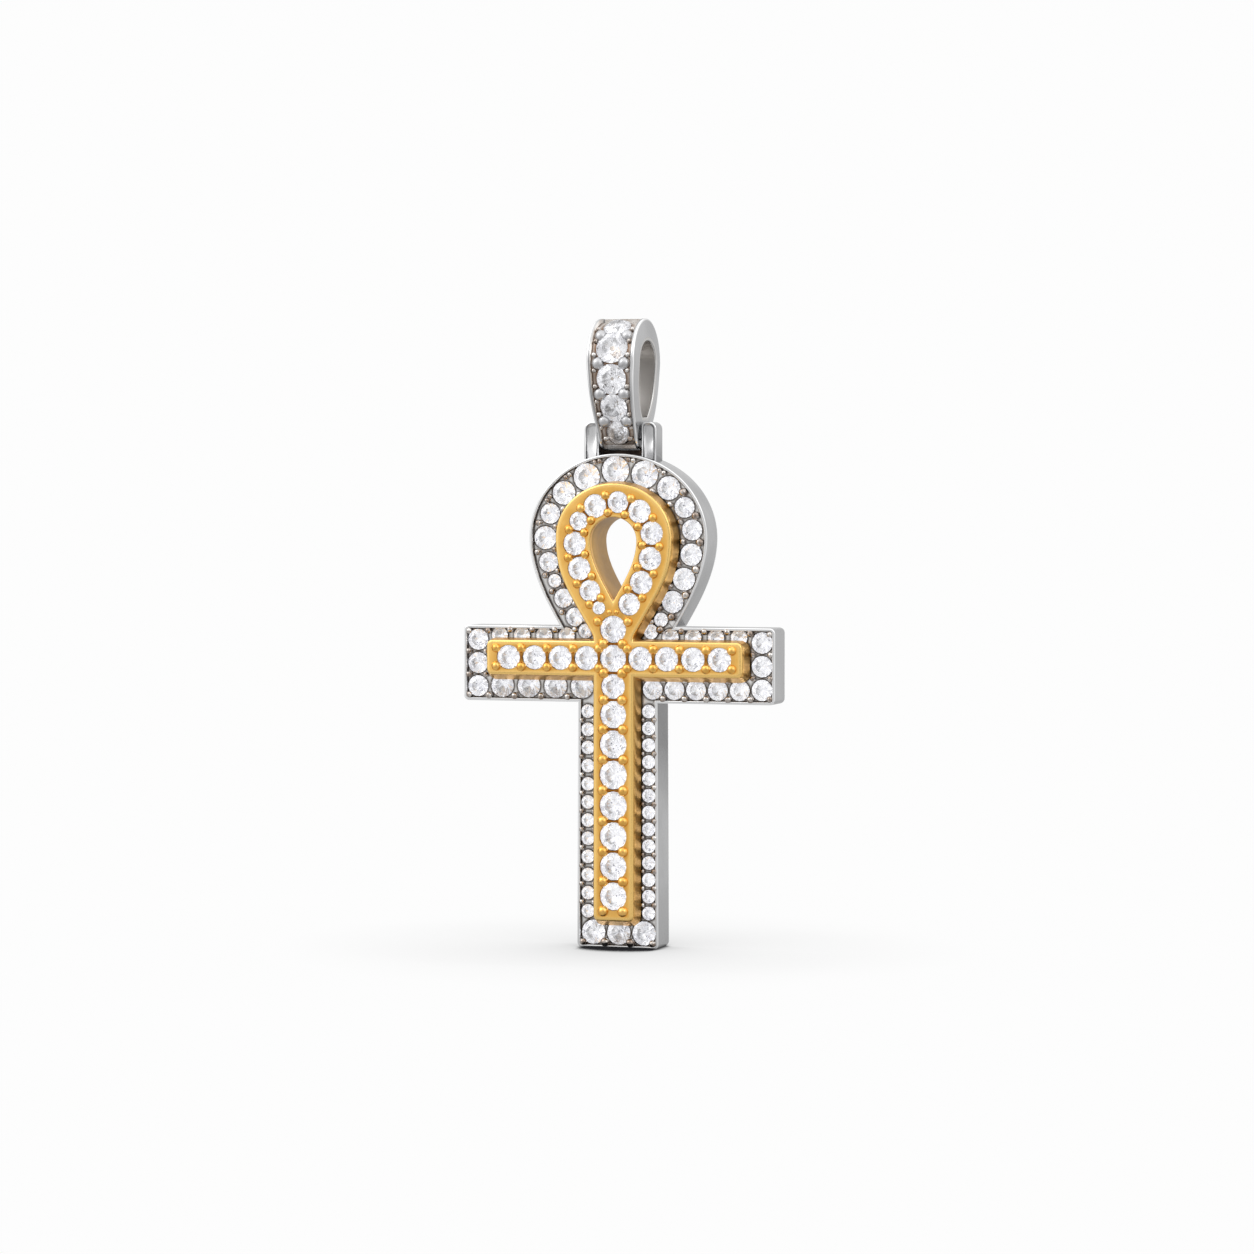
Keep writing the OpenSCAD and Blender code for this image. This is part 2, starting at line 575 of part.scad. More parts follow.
module bail() {
    color(SILVER) {
        difference() {
            bail_body();
            across(bail_top_width) translate([way_shift, 0]) polygon(way_outline);
            bail_channel();
            for (s = bail_row) on_bail(s.y, 0, stone_proud - CROWN * s[2]) seat(s[2]);
            translate([-bail_top_width, mid_depth, pin_level]) rotate([0, 90, 0])
                cylinder(d = pin_diameter + 2 * eye_gap, h = 2 * bail_top_width, $fn = PIN_FN);
        }
        for (g = bail_grains) on_bail(g.y, g.x, -channel_depth) grain(g[2]);
    }
}

module plate_stones() {
    color(STONE) for (s = plate_stones) on_front(s, seat_gap) cut_stone(s[2], FIELD_SIDES);
}

module gold_stone(stone) {
    color(STONE) on_front(stone, gold_table) cut_stone(stone[2], MAIN_SIDES);
}

module bail_stone(stone) {
    color(STONE) on_bail(stone.y, 0, stone_proud - CROWN * stone[2]) cut_stone(stone[2], MAIN_SIDES);
}

hung() base_plate();
hung() gold_ankh();
hung() hinge_pin();
hung() bail();
hung() plate_stones();
hung() gold_stone(centre_stone);
hung() gold_stone(junction_stone);
for (i = [1:len(loop_row)])
    hung() gold_stone(loop_row[i - 1]);
for (i = [1:len(stem_row)])
    hung() gold_stone(stem_row[i - 1]);
for (i = [1:arm_stones])
    hung() gold_stone(arm_row(-1)[i - 1]);
for (i = [1:arm_stones])
    hung() gold_stone(arm_row(1)[i - 1]);
for (i = [1:len(bail_row)])
    hung() bail_stone(bail_row[i - 1]);
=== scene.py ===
"""Looks of a two-tone ankh pendant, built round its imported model.

The metalwork, the cut stones and the beads are modelled in the design's own millimetres, with the plate's
front at Y = 0 and the arms' centre line at Z = 0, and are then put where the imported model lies.
"""

from __future__ import annotations

import logging
import math
from dataclasses import dataclass, field, replace
from enum import Enum
from typing import Callable, Iterable, Sequence

import bmesh
import bpy
import numpy as np
from mathutils import Matrix, Vector

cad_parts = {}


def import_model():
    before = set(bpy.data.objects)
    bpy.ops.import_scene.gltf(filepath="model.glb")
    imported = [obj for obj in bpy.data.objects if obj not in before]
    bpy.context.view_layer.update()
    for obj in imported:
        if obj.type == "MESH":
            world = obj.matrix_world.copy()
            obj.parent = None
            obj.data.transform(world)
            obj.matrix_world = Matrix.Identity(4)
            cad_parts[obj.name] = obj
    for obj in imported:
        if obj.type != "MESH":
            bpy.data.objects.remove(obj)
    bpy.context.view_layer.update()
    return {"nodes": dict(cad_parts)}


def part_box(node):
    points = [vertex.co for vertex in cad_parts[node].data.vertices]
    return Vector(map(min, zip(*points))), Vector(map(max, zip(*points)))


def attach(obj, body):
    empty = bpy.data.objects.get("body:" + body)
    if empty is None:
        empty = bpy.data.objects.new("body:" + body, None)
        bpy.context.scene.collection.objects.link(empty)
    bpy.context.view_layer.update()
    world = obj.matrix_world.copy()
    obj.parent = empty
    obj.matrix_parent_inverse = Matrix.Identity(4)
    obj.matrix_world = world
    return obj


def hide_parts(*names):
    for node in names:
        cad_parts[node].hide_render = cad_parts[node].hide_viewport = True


log = logging.getLogger("pendant")

MM = 0.001
# Vertex layer that marks roundings; metals give them a painted highlight colour and their own roughness
EDGE = "edge"
# Vertex layer of painted shade: how dark a point is painted for the gaps beside it
SHADE = "shade"
# Face layer of each facet's tone behind a stone: painted reflections
FACET = "facet"
Flat = tuple[float, float]
Colour = tuple[float, float, float]
Rib = tuple[float, float, float]


class Body(Enum):
    """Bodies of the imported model."""

    BAIL = "bail"
    PENDANT = "pendant"


class Slot(Enum):
    """Names of material slots, passed to the piece makers, which do not use them."""

    WHITE_METAL = "white_metal"
    YELLOW_GOLD = "yellow_gold"
    SMALL_STONES = "small_stones"
    CUT_STONES = "cut_stones"


@dataclass(frozen=True)
class Bench:
    """Where the design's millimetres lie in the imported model."""

    origin: Vector

    @classmethod
    def from_plate(cls, thickness: float, drop: float) -> Bench:
        """Finds the design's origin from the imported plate.

        Args:
            thickness: The plate's thickness in millimetres.
            drop: From the arms' centre line down to the foot in millimetres.

        Returns:
            The bench.
        """
        low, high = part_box("base_plate")
        return cls(Vector(((low.x + high.x) / 2, high.y - thickness * MM, low.z + drop * MM)))

    def seat(self, bm: bmesh.types.BMesh) -> None:
        """Moves a mesh from the design's millimetres to its place.

        Args:
            bm: The mesh.
        """
        bmesh.ops.scale(bm, vec=(MM, MM, MM), verts=bm.verts)
        bmesh.ops.translate(bm, vec=self.origin, verts=bm.verts)

    def design(self, points: np.ndarray) -> np.ndarray:
        """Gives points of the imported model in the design's millimetres.

        Args:
            points: One point a row, in metres.

        Returns:
            The same points in millimetres.
        """
        return (points - np.array(self.origin)) / MM


@dataclass(frozen=True)
class SetStone:
    """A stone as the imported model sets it, in the design's millimetres."""

    girdle: Vector
    up: Vector
    diameter: float

    @property
    def flat(self) -> Vector:
        """Centre seen from the front, as X and Z."""
        return Vector((self.girdle.x, self.girdle.z))


# Proportions of a round brilliant, as shares of its diameter
TABLE = 0.56
CROWN = 0.15
GIRDLE = 0.03
PAVILION = 0.41
STAR_REACH = 0.78
LOWER_REACH = 0.22

# Seats: their foot's radius, their spare depth under the stone, and their least step
SEAT_FOOT = 0.1
SEAT_SPARE = 0.05
SEAT_STEP = 0.02

# How far before and behind a place on the bail's line its way is taken
WAY_STEP = 0.3

# How far the two handles of a loop's lower side reach, as shares of its fall
HEAD_BELLY = (0.4, 0.35, 0.22)
GOLD_BELLY = (0.42, 0.65, 0.46)
HOLE_BELLY = (0.36, 0.45, 0.33)
BAIL_BELLY = (0.53, 0.71, 0.13)
FRONT_BELLY = (0.5, 0.46, 0.29)
WAY_BELLY = (0.5, 0.75, 0.25)


def read_stone(points: np.ndarray) -> SetStone:
    """Finds a stone's girdle, axis and diameter from its corners.

    Args:
        points: The stone's corners in the design's millimetres, each once.

    Returns:
        The stone.
    """
    centre = points.mean(0)
    off = points - centre
    _, axes = np.linalg.eigh(off.T @ off)
    axis = axes[:, 0]
    along = off @ axis
    if along.max() > -along.min():
        axis, along = -axis, -along
    radial = off - np.outer(along, axis)
    diameter = 2 * float(np.linalg.norm(radial, axis=1).max())
    return SetStone(
        Vector(centre + axis * (along.max() - CROWN * diameter)), Vector(axis), diameter
    )


def stones_of(node: bpy.types.Object, bench: Bench) -> list[SetStone]:
    """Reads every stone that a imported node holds.

    Args:
        node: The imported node's object.
        bench: Where the design lies.

    Returns:
        Its stones, in the same order each run.
    """
    bm = bmesh.new()
    bm.from_mesh(node.data)
    bmesh.ops.remove_doubles(bm, verts=bm.verts, dist=1e-7)
    left = dict.fromkeys(bm.verts)
    found = []
    while left:
        island, edge_of_island = [], [left.popitem()[0]]
        while edge_of_island:
            vert = edge_of_island.pop()
            island.append(vert)
            for other in (e.other_vert(vert) for e in vert.link_edges):
                if other in left:
                    del left[other]
                    edge_of_island.append(other)
        found.append(read_stone(bench.design(np.array([list(v.co) for v in island]))))
    bm.free()
    return found


def loop_half(
    half_width: float,
    rise: float,
    level: float,
    foot: Flat,
    belly: Rib,
    steps: int = 26,
) -> list[Flat]:
    """Right half of a loop: an elliptical crown, and a side that falls to its foot.

    Args:
        half_width: Half of its width at its widest level.
        rise: From that level up to its top.
        level: Its widest level.
        foot: Where its side ends.
        belly: How far the side's handles reach, as shares of the fall.
        steps: Steps along the crown, and as many along the side.

    Returns:
        Points from the top centre to the foot.
    """
    fall = level - foot[1]
    handles = [
        (half_width, level),
        (half_width, level - belly[0] * fall),
        (foot[0] + belly[1] * (half_width - foot[0]), foot[1] + belly[2] * fall),
        foot,
    ]
    crown = [
        (half_width * math.sin(a), level + rise * math.cos(a))
        for a in (math.pi / 2 * i / steps for i in range(steps + 1))
    ]
    side = []
    for i in range(1, steps + 1):
        t = i / steps
        w = ((1 - t) ** 3, 3 * (1 - t) ** 2 * t, 3 * (1 - t) * t * t, t**3)
        side.append(
            (sum(a * h[0] for a, h in zip(w, handles)), sum(a * h[1] for a, h in zip(w, handles)))
        )
    return crown + side


def rounded(corner: Flat, arrive: Flat, leave: Flat, radius: float, steps: int = 6) -> list[Flat]:
    """Points round a square corner.

    Args:
        corner: The corner before it is rounded.
        arrive: Direction of the edge that comes to it.
        leave: Direction of the edge that leaves it.
        radius: Radius of the rounding.
        steps: Steps round it.

    Returns:
        The points.
    """
    cx = corner[0] - radius * arrive[0] + radius * leave[0]
    cz = corner[1] - radius * arrive[1] + radius * leave[1]
    turns = [math.pi / 2 * i / steps for i in range(steps + 1)]
    return [
        (
            cx + radius * (arrive[0] * math.sin(t) - leave[0] * math.cos(t)),
            cz + radius * (arrive[1] * math.sin(t) - leave[1] * math.cos(t)),
        )
        for t in turns
    ]


def mirrored(half: Sequence[Flat]) -> list[Flat]:
    """Closes a right half into a whole ring.

    Args:
        half: The right half, from its top to its bottom.

    Returns:
        The ring, clockwise as the front shows it.
    """
    return list(half) + [(-x, z) for x, z in reversed(half) if abs(x) > 1e-9]


def resampled(points: Sequence[Flat], count: int) -> list[Flat]:
    """Spreads points evenly along a line.

    Args:
        points: The line's points.
        count: How many points to give.

    Returns:
        The new points, the line's ends among them.
    """
    gaps = [math.dist(a, b) for a, b in zip(points, points[1:])]
    marks = np.concatenate([[0.0], np.cumsum(gaps)])
    at = np.linspace(0.0, marks[-1], count)
    xs = np.interp(at, marks, [p[0] for p in points])
    zs = np.interp(at, marks, [p[1] for p in points])
    return [(float(x), float(z)) for x, z in zip(xs, zs)]


def eased(corners: Sequence[Rib], steps: int = 4, support: float = 0.04) -> list[Rib]:
    """Rounds the corners of a wall's profile.

    Args:
        corners: (reach, depth, radius) of each corner. The first and last stay as they are.
        steps: Steps round each corner.
        support: How far beyond a rounding its supporting line lies.

    Returns:
        (reach, depth, edge) of each line, where edge is 1 on a rounding.
    """
    lines: list[Rib] = [(corners[0][0], corners[0][1], 0.0)]
    for before, corner, after in zip(corners, corners[1:], corners[2:]):
        p = Vector(corner[:2])
        back, ahead = Vector(before[:2]) - p, Vector(after[:2]) - p
        if corner[2] <= 0:
            lines.append((p.x, p.y, 0.0))
            continue
        half_angle = back.angle(ahead) / 2
        reach = min(corner[2] / math.tan(half_angle), 0.48 * back.length, 0.48 * ahead.length)
        start, end = p + back.normalized() * reach, p + ahead.normalized() * reach
        if back.length > 2 * (reach + support):
            held = start + back.normalized() * support
            lines.append((held.x, held.y, 0.0))
        for i in range(steps + 1):
            t = i / steps
            at = start * (1 - t) ** 2 + p * (2 * t * (1 - t)) + end * t * t
            lines.append((at.x, at.y, 1.0))
        if ahead.length > 2 * (reach + support):
            held = end + ahead.normalized() * support
            lines.append((held.x, held.y, 0.0))
    lines.append((corners[-1][0], corners[-1][1], 0.0))
    return lines


Ring = list[bmesh.types.BMVert]
Rim = tuple[Ring, Vector, SetStone]


class Forge:
    """A closed mesh in the making, whose walls run through rings of points."""

    def __init__(self) -> None:
        """Starts an empty mesh."""
        self.bm = bmesh.new()
        self.edge = self.bm.verts.layers.float.new(EDGE)
        self.shade = self.bm.verts.layers.float.new(SHADE)
        self.facet = self.bm.faces.layers.float.new(FACET)

    def ring(self, points: Iterable[Vector], edge: float = 0.0) -> Ring:
        """Draws a closed ring.

        Args:
            points: Its points in order.
            edge: How far it counts as an edge, 0 to 1.

        Returns:
            Its vertices in order.
        """
        made = [self.bm.verts.new(p) for p in points]
        for a, b in zip(made, made[1:] + made[:1]):
            self.bm.edges.new((a, b))
        for vert in made:
            vert[self.edge] = edge
        return made

    def sides(self, ring: Ring) -> list[bmesh.types.BMEdge]:
        """Edges of a ring.

        Args:
            ring: The ring.

        Returns:
            Its edges in order.
        """
        return [self.bm.edges.get((a, b)) for a, b in zip(ring, ring[1:] + ring[:1])]

    def sweep(self, ring: Ring, points: Sequence[Vector], edge: float = 0.0, finish: int = 0) -> Ring:
        """Runs a wall from a ring to the next one.

        Args:
            ring: The ring to start from.
            points: The next ring's points, one for each of the first one's.
            edge: How far the next ring counts as an edge.
            finish: Material of the wall.

        Returns:
            The next ring.
        """
        made = bmesh.ops.extrude_edge_only(self.bm, edges=self.sides(ring))["geom"]
        fresh = {g for g in made if isinstance(g, bmesh.types.BMVert)}
        for face in (g for g in made if isinstance(g, bmesh.types.BMFace)):
            face.material_index = finish
            face.smooth = True
        after = []
        for vert, point in zip(ring, points):
            (other,) = (e.other_vert(vert) for e in vert.link_edges if e.other_vert(vert) in fresh)
            other.co = point
            other[self.edge] = edge
            after.append(other)
        return after

    def wall(
        self, place: Callable[[float, float], Sequence[Vector]], lines: Sequence[Rib], finish: int = 0
    ) -> tuple[Ring, Ring]:
        """Runs a wall along a profile.

        Args:
            place: Gives a ring's points from a reach and a depth.
            lines: (reach, depth, edge) of each ring.
            finish: Material of the wall.

        Returns:
            Its first and last rings.
        """
        first = last = self.ring(place(lines[0][0], lines[0][1]), lines[0][2])
        for reach, depth, edge in lines[1:]:
            last = self.sweep(last, place(reach, depth), edge, finish)
        return first, last

    def fill(self, *rings: Ring, finish: int = 0, smooth: bool = False) -> None:
        """Closes the flat between rings.

        Args:
            rings: The outer ring and any inner ones.
            finish: Material of the flat.
            smooth: Whether it is shaded smooth.
        """
        edges = [e for ring in rings for e in self.sides(ring)]
        made = bmesh.ops.triangle_fill(self.bm, use_beauty=True, use_dissolve=False, edges=edges)
        for face in (g for g in made["geom"] if isinstance(g, bmesh.types.BMFace)):
            face.material_index = finish
            face.smooth = smooth

    def pit(self, ring: Ring, centre: Vector, levels: Sequence[Flat], finish: int = 0) -> None:
        """Sinks a round seat from a ring in a flat that faces -Y.

        Args:
            ring: The seat's rim.
            centre: Its centre on the flat.
            levels: (radius, depth) of each line down it, the last one its foot.
            finish: Material of the seat.
        """
        for radius, depth in levels:
            ring = self.sweep(ring, circle(centre.x, depth, centre.z, radius, len(ring)), finish=finish)
        bmesh.ops.contextual_create(self.bm, geom=self.sides(ring))
        for face in ring[0].link_faces:
            face.material_index = finish

    def rims(self, stones: Sequence[SetStone], level: float, gap: float, count: int) -> list[Rim]:
        """Draws the rim of each stone's seat on a flat that faces -Y.

        Args:
            stones: The stones.
            level: Depth of the flat.
            gap: Clearance round a stone.
            count: Points round a rim.

        Returns:
            Each rim, with its centre and its stone.
        """
        made = []
        for stone in stones:
            at = Vector((stone.girdle.x, level, stone.girdle.z))
            made.append((self.ring(circle(at.x, at.y, at.z, stone.diameter / 2 + gap, count)), at, stone))
        return made

    def seats(self, rims: Sequence[Rim], gap: float, finish: int) -> None:
        """Sinks the stones' seats from their rims.

        Args:
            rims: The rims.
            gap: Clearance round a stone.
            finish: Material of the seats.
        """
        for ring, at, stone in rims:
            low = stone.girdle.y + GIRDLE * stone.diameter
            levels = [(SEAT_FOOT, low + PAVILION * stone.diameter + SEAT_SPARE)]
            if low > at.y - SEAT_STEP:
                levels.insert(0, (stone.diameter / 2 + gap, low + SEAT_STEP))
            self.pit(ring, at, levels, finish)

    def paint_gap_shade(self, rings: Sequence[Ring], narrow: float, wide: float, floor: float) -> None:
        """Paints shade on the points of rings that have another ring close by, darkest where the gap is
        narrowest.

        Args:
            rings: The rings.
            narrow: Gap that is wholly dark.
            wide: Gap that isn't dark at all.
            floor: The least painted shade of a point.
        """
        points = [(vert, n) for n, ring in enumerate(rings) for vert in ring]
        places = np.array([vert.co for vert, _ in points])
        owners = np.array([n for _, n in points])
        for vert, owner in points:
            gap = np.linalg.norm(places - np.array(vert.co), axis=1)[owners != owner].min()
            vert[self.shade] = floor + (1 - floor) * min(1.0, max(0.0, (wide - gap) / (wide - narrow)))

    def flat_faces(self, level: float, finish: int) -> set[bmesh.types.BMFace]:
        """Finds the faces of a flat that faces -Y.

        Args:
            level: Its depth.
            finish: Its material.

        Returns:
            Its faces.
        """
        return {
            face for face in self.bm.faces
            if face.material_index == finish and all(abs(v.co.y - level) < 1e-5 for v in face.verts)
        }

    def paint_outline_shade(
        self, rings: Sequence[Ring], narrow: float, wide: float, level: float, finish: int = 0,
        step: float = 0.22,
    ) -> None:
        """Paints shade on a flat that faces -Y close to the rings that bound it, once all else is drawn: a
        dark outline round the stones and along the rims.

        Args:
            rings: The rings.
            narrow: How far from a ring it is wholly dark.
            wide: How far from a ring the dark ends.
            level: Depth of the flat.
            finish: Material of the flat.
            step: Longest edge that is left in it.
        """
        lines = np.array([
            (a.co.x, a.co.z, b.co.x, b.co.z) for ring in rings for a, b in zip(ring, ring[1:] + ring[:1])
        ])
        flat = self.flat_faces(level, finish)
        while long := [
            edge for edge in self.bm.edges
            if edge.calc_length() > step and len(edge.link_faces) == 2
            and all(face in flat for face in edge.link_faces)
        ]:
            bmesh.ops.subdivide_edges(self.bm, edges=long, cuts=1)
            flat = self.flat_faces(level, finish)
        starts = lines[:, :2]
        ways = lines[:, 2:] - starts
        lengths = np.maximum((ways * ways).sum(1), 1e-12)
        for vert in {v for face in flat for v in face.verts}:
            off = np.array((vert.co.x, vert.co.z)) - starts
            along = np.clip((off * ways).sum(1) / lengths, 0.0, 1.0)
            gap = float(np.linalg.norm(off - ways * along[:, None], axis=1).min())
            vert[self.shade] = min(1.0, max(0.0, (wide - gap) / (wide - narrow)))

    def add(self, mesh: bpy.types.Mesh, matrix: Matrix) -> list[bmesh.types.BMFace]:
        """Adds a copy of a mesh.

        Args:
            mesh: The mesh.
            matrix: Its place.

        Returns:
            The copy's faces.
        """
        verts, faces = len(self.bm.verts), len(self.bm.faces)
        self.bm.from_mesh(mesh)
        self.bm.verts.ensure_lookup_table()
        self.bm.faces.ensure_lookup_table()
        bmesh.ops.transform(self.bm, matrix=matrix, verts=self.bm.verts[verts:])
        return self.bm.faces[faces:]

    def finish(self, name: str, bench: Bench, recalculate: bool = True) -> bpy.types.Mesh:
        """Ends the mesh and puts it in place.

        Args:
            name: The mesh's name.
            bench: Where the design lies.
            recalculate: Whether its faces are turned outwards.

        Returns:
            The mesh.
        """
        if recalculate:
            bmesh.ops.recalc_face_normals(self.bm, faces=self.bm.faces)
        bench.seat(self.bm)
        mesh = bpy.data.meshes.new(name)
        self.bm.to_mesh(mesh)
        self.bm.free()
        return mesh


def circle(x: float, y: float, z: float, radius: float, count: int) -> list[Vector]:
    """Points of a circle that faces -Y.

    Args:
        x: Its centre's X.
        y: Its depth.
        z: Its centre's Z.
        radius: Its radius.
        count: How many points.

    Returns:
        The points.
    """
    turns = [2 * math.pi * i / count for i in range(count)]
    return [Vector((x + radius * math.sin(t), y, z + radius * math.cos(t))) for t in turns]


def standing(points: Sequence[Flat], depth: float) -> list[Vector]:
    """Stands a flat outline up at a depth.

    Args:
        points: The outline in X and Z.
        depth: Its Y.

    Returns:
        The points.
    """
    return [Vector((x, depth, z)) for x, z in points]


def show(
    name: str,
    mesh: bpy.types.Mesh,
    finishes: Sequence[bpy.types.Material],
    body: Body,
    replaced: Sequence[str] = (),
) -> bpy.types.Object:
    """Makes a piece of a finished mesh.

    Args:
        name: The piece's name.
        mesh: Its mesh, in place.
        finishes: Its materials.
        body: The body that it moves with.
        replaced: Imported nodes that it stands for.

    Returns:
        The piece.
    """
    piece = bpy.data.objects.new(name, mesh)
    bpy.context.scene.collection.objects.link(piece)
    for finish in finishes:
        mesh.materials.append(finish)
    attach(piece, body.value)
    if replaced:
        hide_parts(*replaced)
    log.info("%s: %d faces", name, len(mesh.polygons))
    return piece


def socket(
    group: bpy.types.ShaderNodeTree, name: str, kind: str, out: bool = False, value: object = None
) -> None:
    """Adds a socket to a node group.

    Args:
        group: The group.
        name: The socket's name.
        kind: Float, Color or Vector.
        out: Whether it is an output.
        value: Its default value.
    """
    made = group.interface.new_socket(
        name=name, in_out="OUTPUT" if out else "INPUT", socket_type=f"NodeSocket{kind}"
    )
    if value is not None:
        made.default_value = value


class Graph:
    """A node tree with short ways to add to it."""

    def __init__(self, tree: bpy.types.NodeTree) -> None:
        """Wraps a tree.

        Args:
            tree: The tree.
        """
        self.tree = tree

    def node(self, kind: str, values: dict | None = None, **options: object) -> bpy.types.Node:
        """Adds a node.

        Args:
            kind: Its type, without the leading ShaderNode.
            values: Its sockets' values or the sockets that feed them.
            options: Its own properties.

        Returns:
            The node.
        """
        made = self.tree.nodes.new(kind if kind.startswith("Node") else f"ShaderNode{kind}")
        for name, value in options.items():
            setattr(made, name, value)
        for name, value in (values or {}).items():
            if isinstance(value, bpy.types.NodeSocket):
                self.tree.links.new(value, made.inputs[name])
            else:
                made.inputs[name].default_value = value
        return made

    def math(self, operation: str, a: object, b: object = 0.0, clamp: bool = False) -> bpy.types.NodeSocket:
        """Adds a Math node.

        Args:
            operation: Its operation.
            a: Its first value.
            b: Its second value.
            clamp: Whether its result stays within 0 and 1.

        Returns:
            Its result.
        """
        return self.node("Math", {0: a, 1: b}, operation=operation, use_clamp=clamp).outputs[0]

    def span(
        self, value: object, low: float, high: float, to_low: float, to_high: float
    ) -> bpy.types.NodeSocket:
        """Adds a smooth Map Range node.

        Args:
            value: What it maps.
            low: Low end of the range it maps from.
            high: High end of that range.
            to_low: Low end of the range it maps to.
            to_high: High end of that range.

        Returns:
            Its result.
        """
        names = ("From Min", "From Max", "To Min", "To Max")
        values = {"Value": value, **dict(zip(names, (low, high, to_low, to_high)))}
        return self.node("MapRange", values, interpolation_type="SMOOTHSTEP").outputs["Result"]

    def blend(self, share: object, a: object, b: object, kind: str = "MIX") -> bpy.types.NodeSocket:
        """Mixes two colours.

        Args:
            share: The second one's share.
            a: The first colour.
            b: The second colour.
            kind: How they mix.

        Returns:
            The mixed colour.
        """
        made = self.node("Mix", data_type="RGBA", blend_type=kind)
        for place, value in ((0, share), (6, a), (7, b)):
            if isinstance(value, bpy.types.NodeSocket):
                self.tree.links.new(value, made.inputs[place])
            else:
                made.inputs[place].default_value = value
        return made.outputs[2]


def rgba(colour: Colour) -> tuple[float, float, float, float]:
    """Gives a colour an alpha of 1.

    Args:
        colour: The colour.

    Returns:
        It with its alpha.
    """
    return (*colour, 1.0)


def group_of(name: str) -> tuple[bpy.types.ShaderNodeTree, Graph]:
    """Starts a node group.

    Args:
        name: Its name.

    Returns:
        The group and a graph of it.
    """
    tree = bpy.data.node_groups.new(name, "ShaderNodeTree")
    return tree, Graph(tree)


def metal_surface() -> bpy.types.ShaderNodeTree:
    """Builds the group that gives a metal its grain, its clouding, a painted highlight on its roundings and
    painted shade where points are marked.

    Returns:
        The group.
    """
    tree, g = group_of("Metal surface")
    for name, tone in (("Colour", 0.8), ("Deep colour", 0.6), ("Edge colour", 1.0), ("Shade colour", 0.05)):
        socket(tree, name, "Color", value=(tone, tone, tone, 1))
    for name, value in (
        ("Edge", 0.0), ("Shade", 0.0), ("Cloud scale", 300.0), ("Grain scale", 6000.0),
        ("Grain stretch", 6.0), ("Roughness", 0.2), ("Edge roughness", 0.15), ("Unevenness", 0.05),
    ):
        socket(tree, name, "Float", value=value)
    socket(tree, "Colour", "Color", out=True)
    socket(tree, "Roughness", "Float", out=True)
    socket(tree, "Height", "Float", out=True)
    given = g.node("NodeGroupInput").outputs
    place = g.node("TexCoord").outputs["Object"]
    cloud = g.node(
        "TexNoise", {"Vector": place, "Scale": given["Cloud scale"], "Detail": 3.0, "Roughness": 0.55}
    )
    long_way = g.node("CombineXYZ", {"X": 1.0, "Y": 1.0, "Z": g.math("DIVIDE", 1.0, given["Grain stretch"])})
    drawn = g.node("VectorMath", {0: place, 1: long_way.outputs[0]}, operation="MULTIPLY")
    grain = g.node("TexNoise", {"Vector": drawn.outputs[0], "Scale": given["Grain scale"], "Detail": 2.0})
    clear = g.span(cloud.outputs["Fac"], 0.35, 0.68, 0.0, 1.0)
    clouded = g.blend(clear, given["Deep colour"], given["Colour"])
    # Painted highlight: roundings take the lighter edge colour.
    edge_highlighted = g.blend(given["Edge"], clouded, given["Edge colour"])
    # Painted shade: marked points take the dark shade colour.
    highlighted_and_shaded = g.blend(given["Shade"], edge_highlighted, given["Shade colour"])
    sway = g.math("MULTIPLY", g.math("SUBTRACT", grain.outputs["Fac"], 0.5), given["Unevenness"])
    even = g.math("ADD", given["Roughness"], sway)
    drop = g.math("MULTIPLY", given["Edge"], g.math("SUBTRACT", given["Edge roughness"], given["Roughness"]))
    rough = g.math("ADD", even, drop, clamp=True)
    g.node("NodeGroupOutput", {"Colour": highlighted_and_shaded, "Roughness": rough, "Height": grain.outputs["Fac"]})
    return tree


def facet_tone() -> bpy.types.ShaderNodeTree:
    """Builds the group that paints reflections behind a stone: each facet bright or dim, with small dark
    specks.

    Returns:
        The group.
    """
    tree, g = group_of("Facet tone")
    socket(tree, "Facet", "Float", value=1.0)
    socket(tree, "Bright", "Color", value=(0.95, 0.96, 1.0, 1.0))
    socket(tree, "Dim", "Color", value=(0.5, 0.5, 0.55, 1.0))
    socket(tree, "Speck", "Color", value=(0.2, 0.2, 0.25, 1.0))
    socket(tree, "Colour", "Color", out=True)
    given = g.node("NodeGroupInput").outputs
    place = g.node("TexCoord").outputs["Object"]
    fleck = g.node("TexNoise", {"Vector": place, "Scale": 2600.0, "Detail": 1.0}).outputs["Fac"]
    tone = g.math("ADD", given["Facet"], g.math("MULTIPLY", g.math("SUBTRACT", fleck, 0.5), 0.2), clamp=True)
    spot = g.node("TexVoronoi", {"Vector": place, "Scale": 1900.0}, feature="F1").outputs["Distance"]
    mark = g.span(spot, 0.12, 0.2, 1.0, 0.0)
    facets = g.blend(tone, given["Dim"], given["Bright"])
    g.node("NodeGroupOutput", {"Colour": g.blend(mark, facets, given["Speck"])})
    return tree


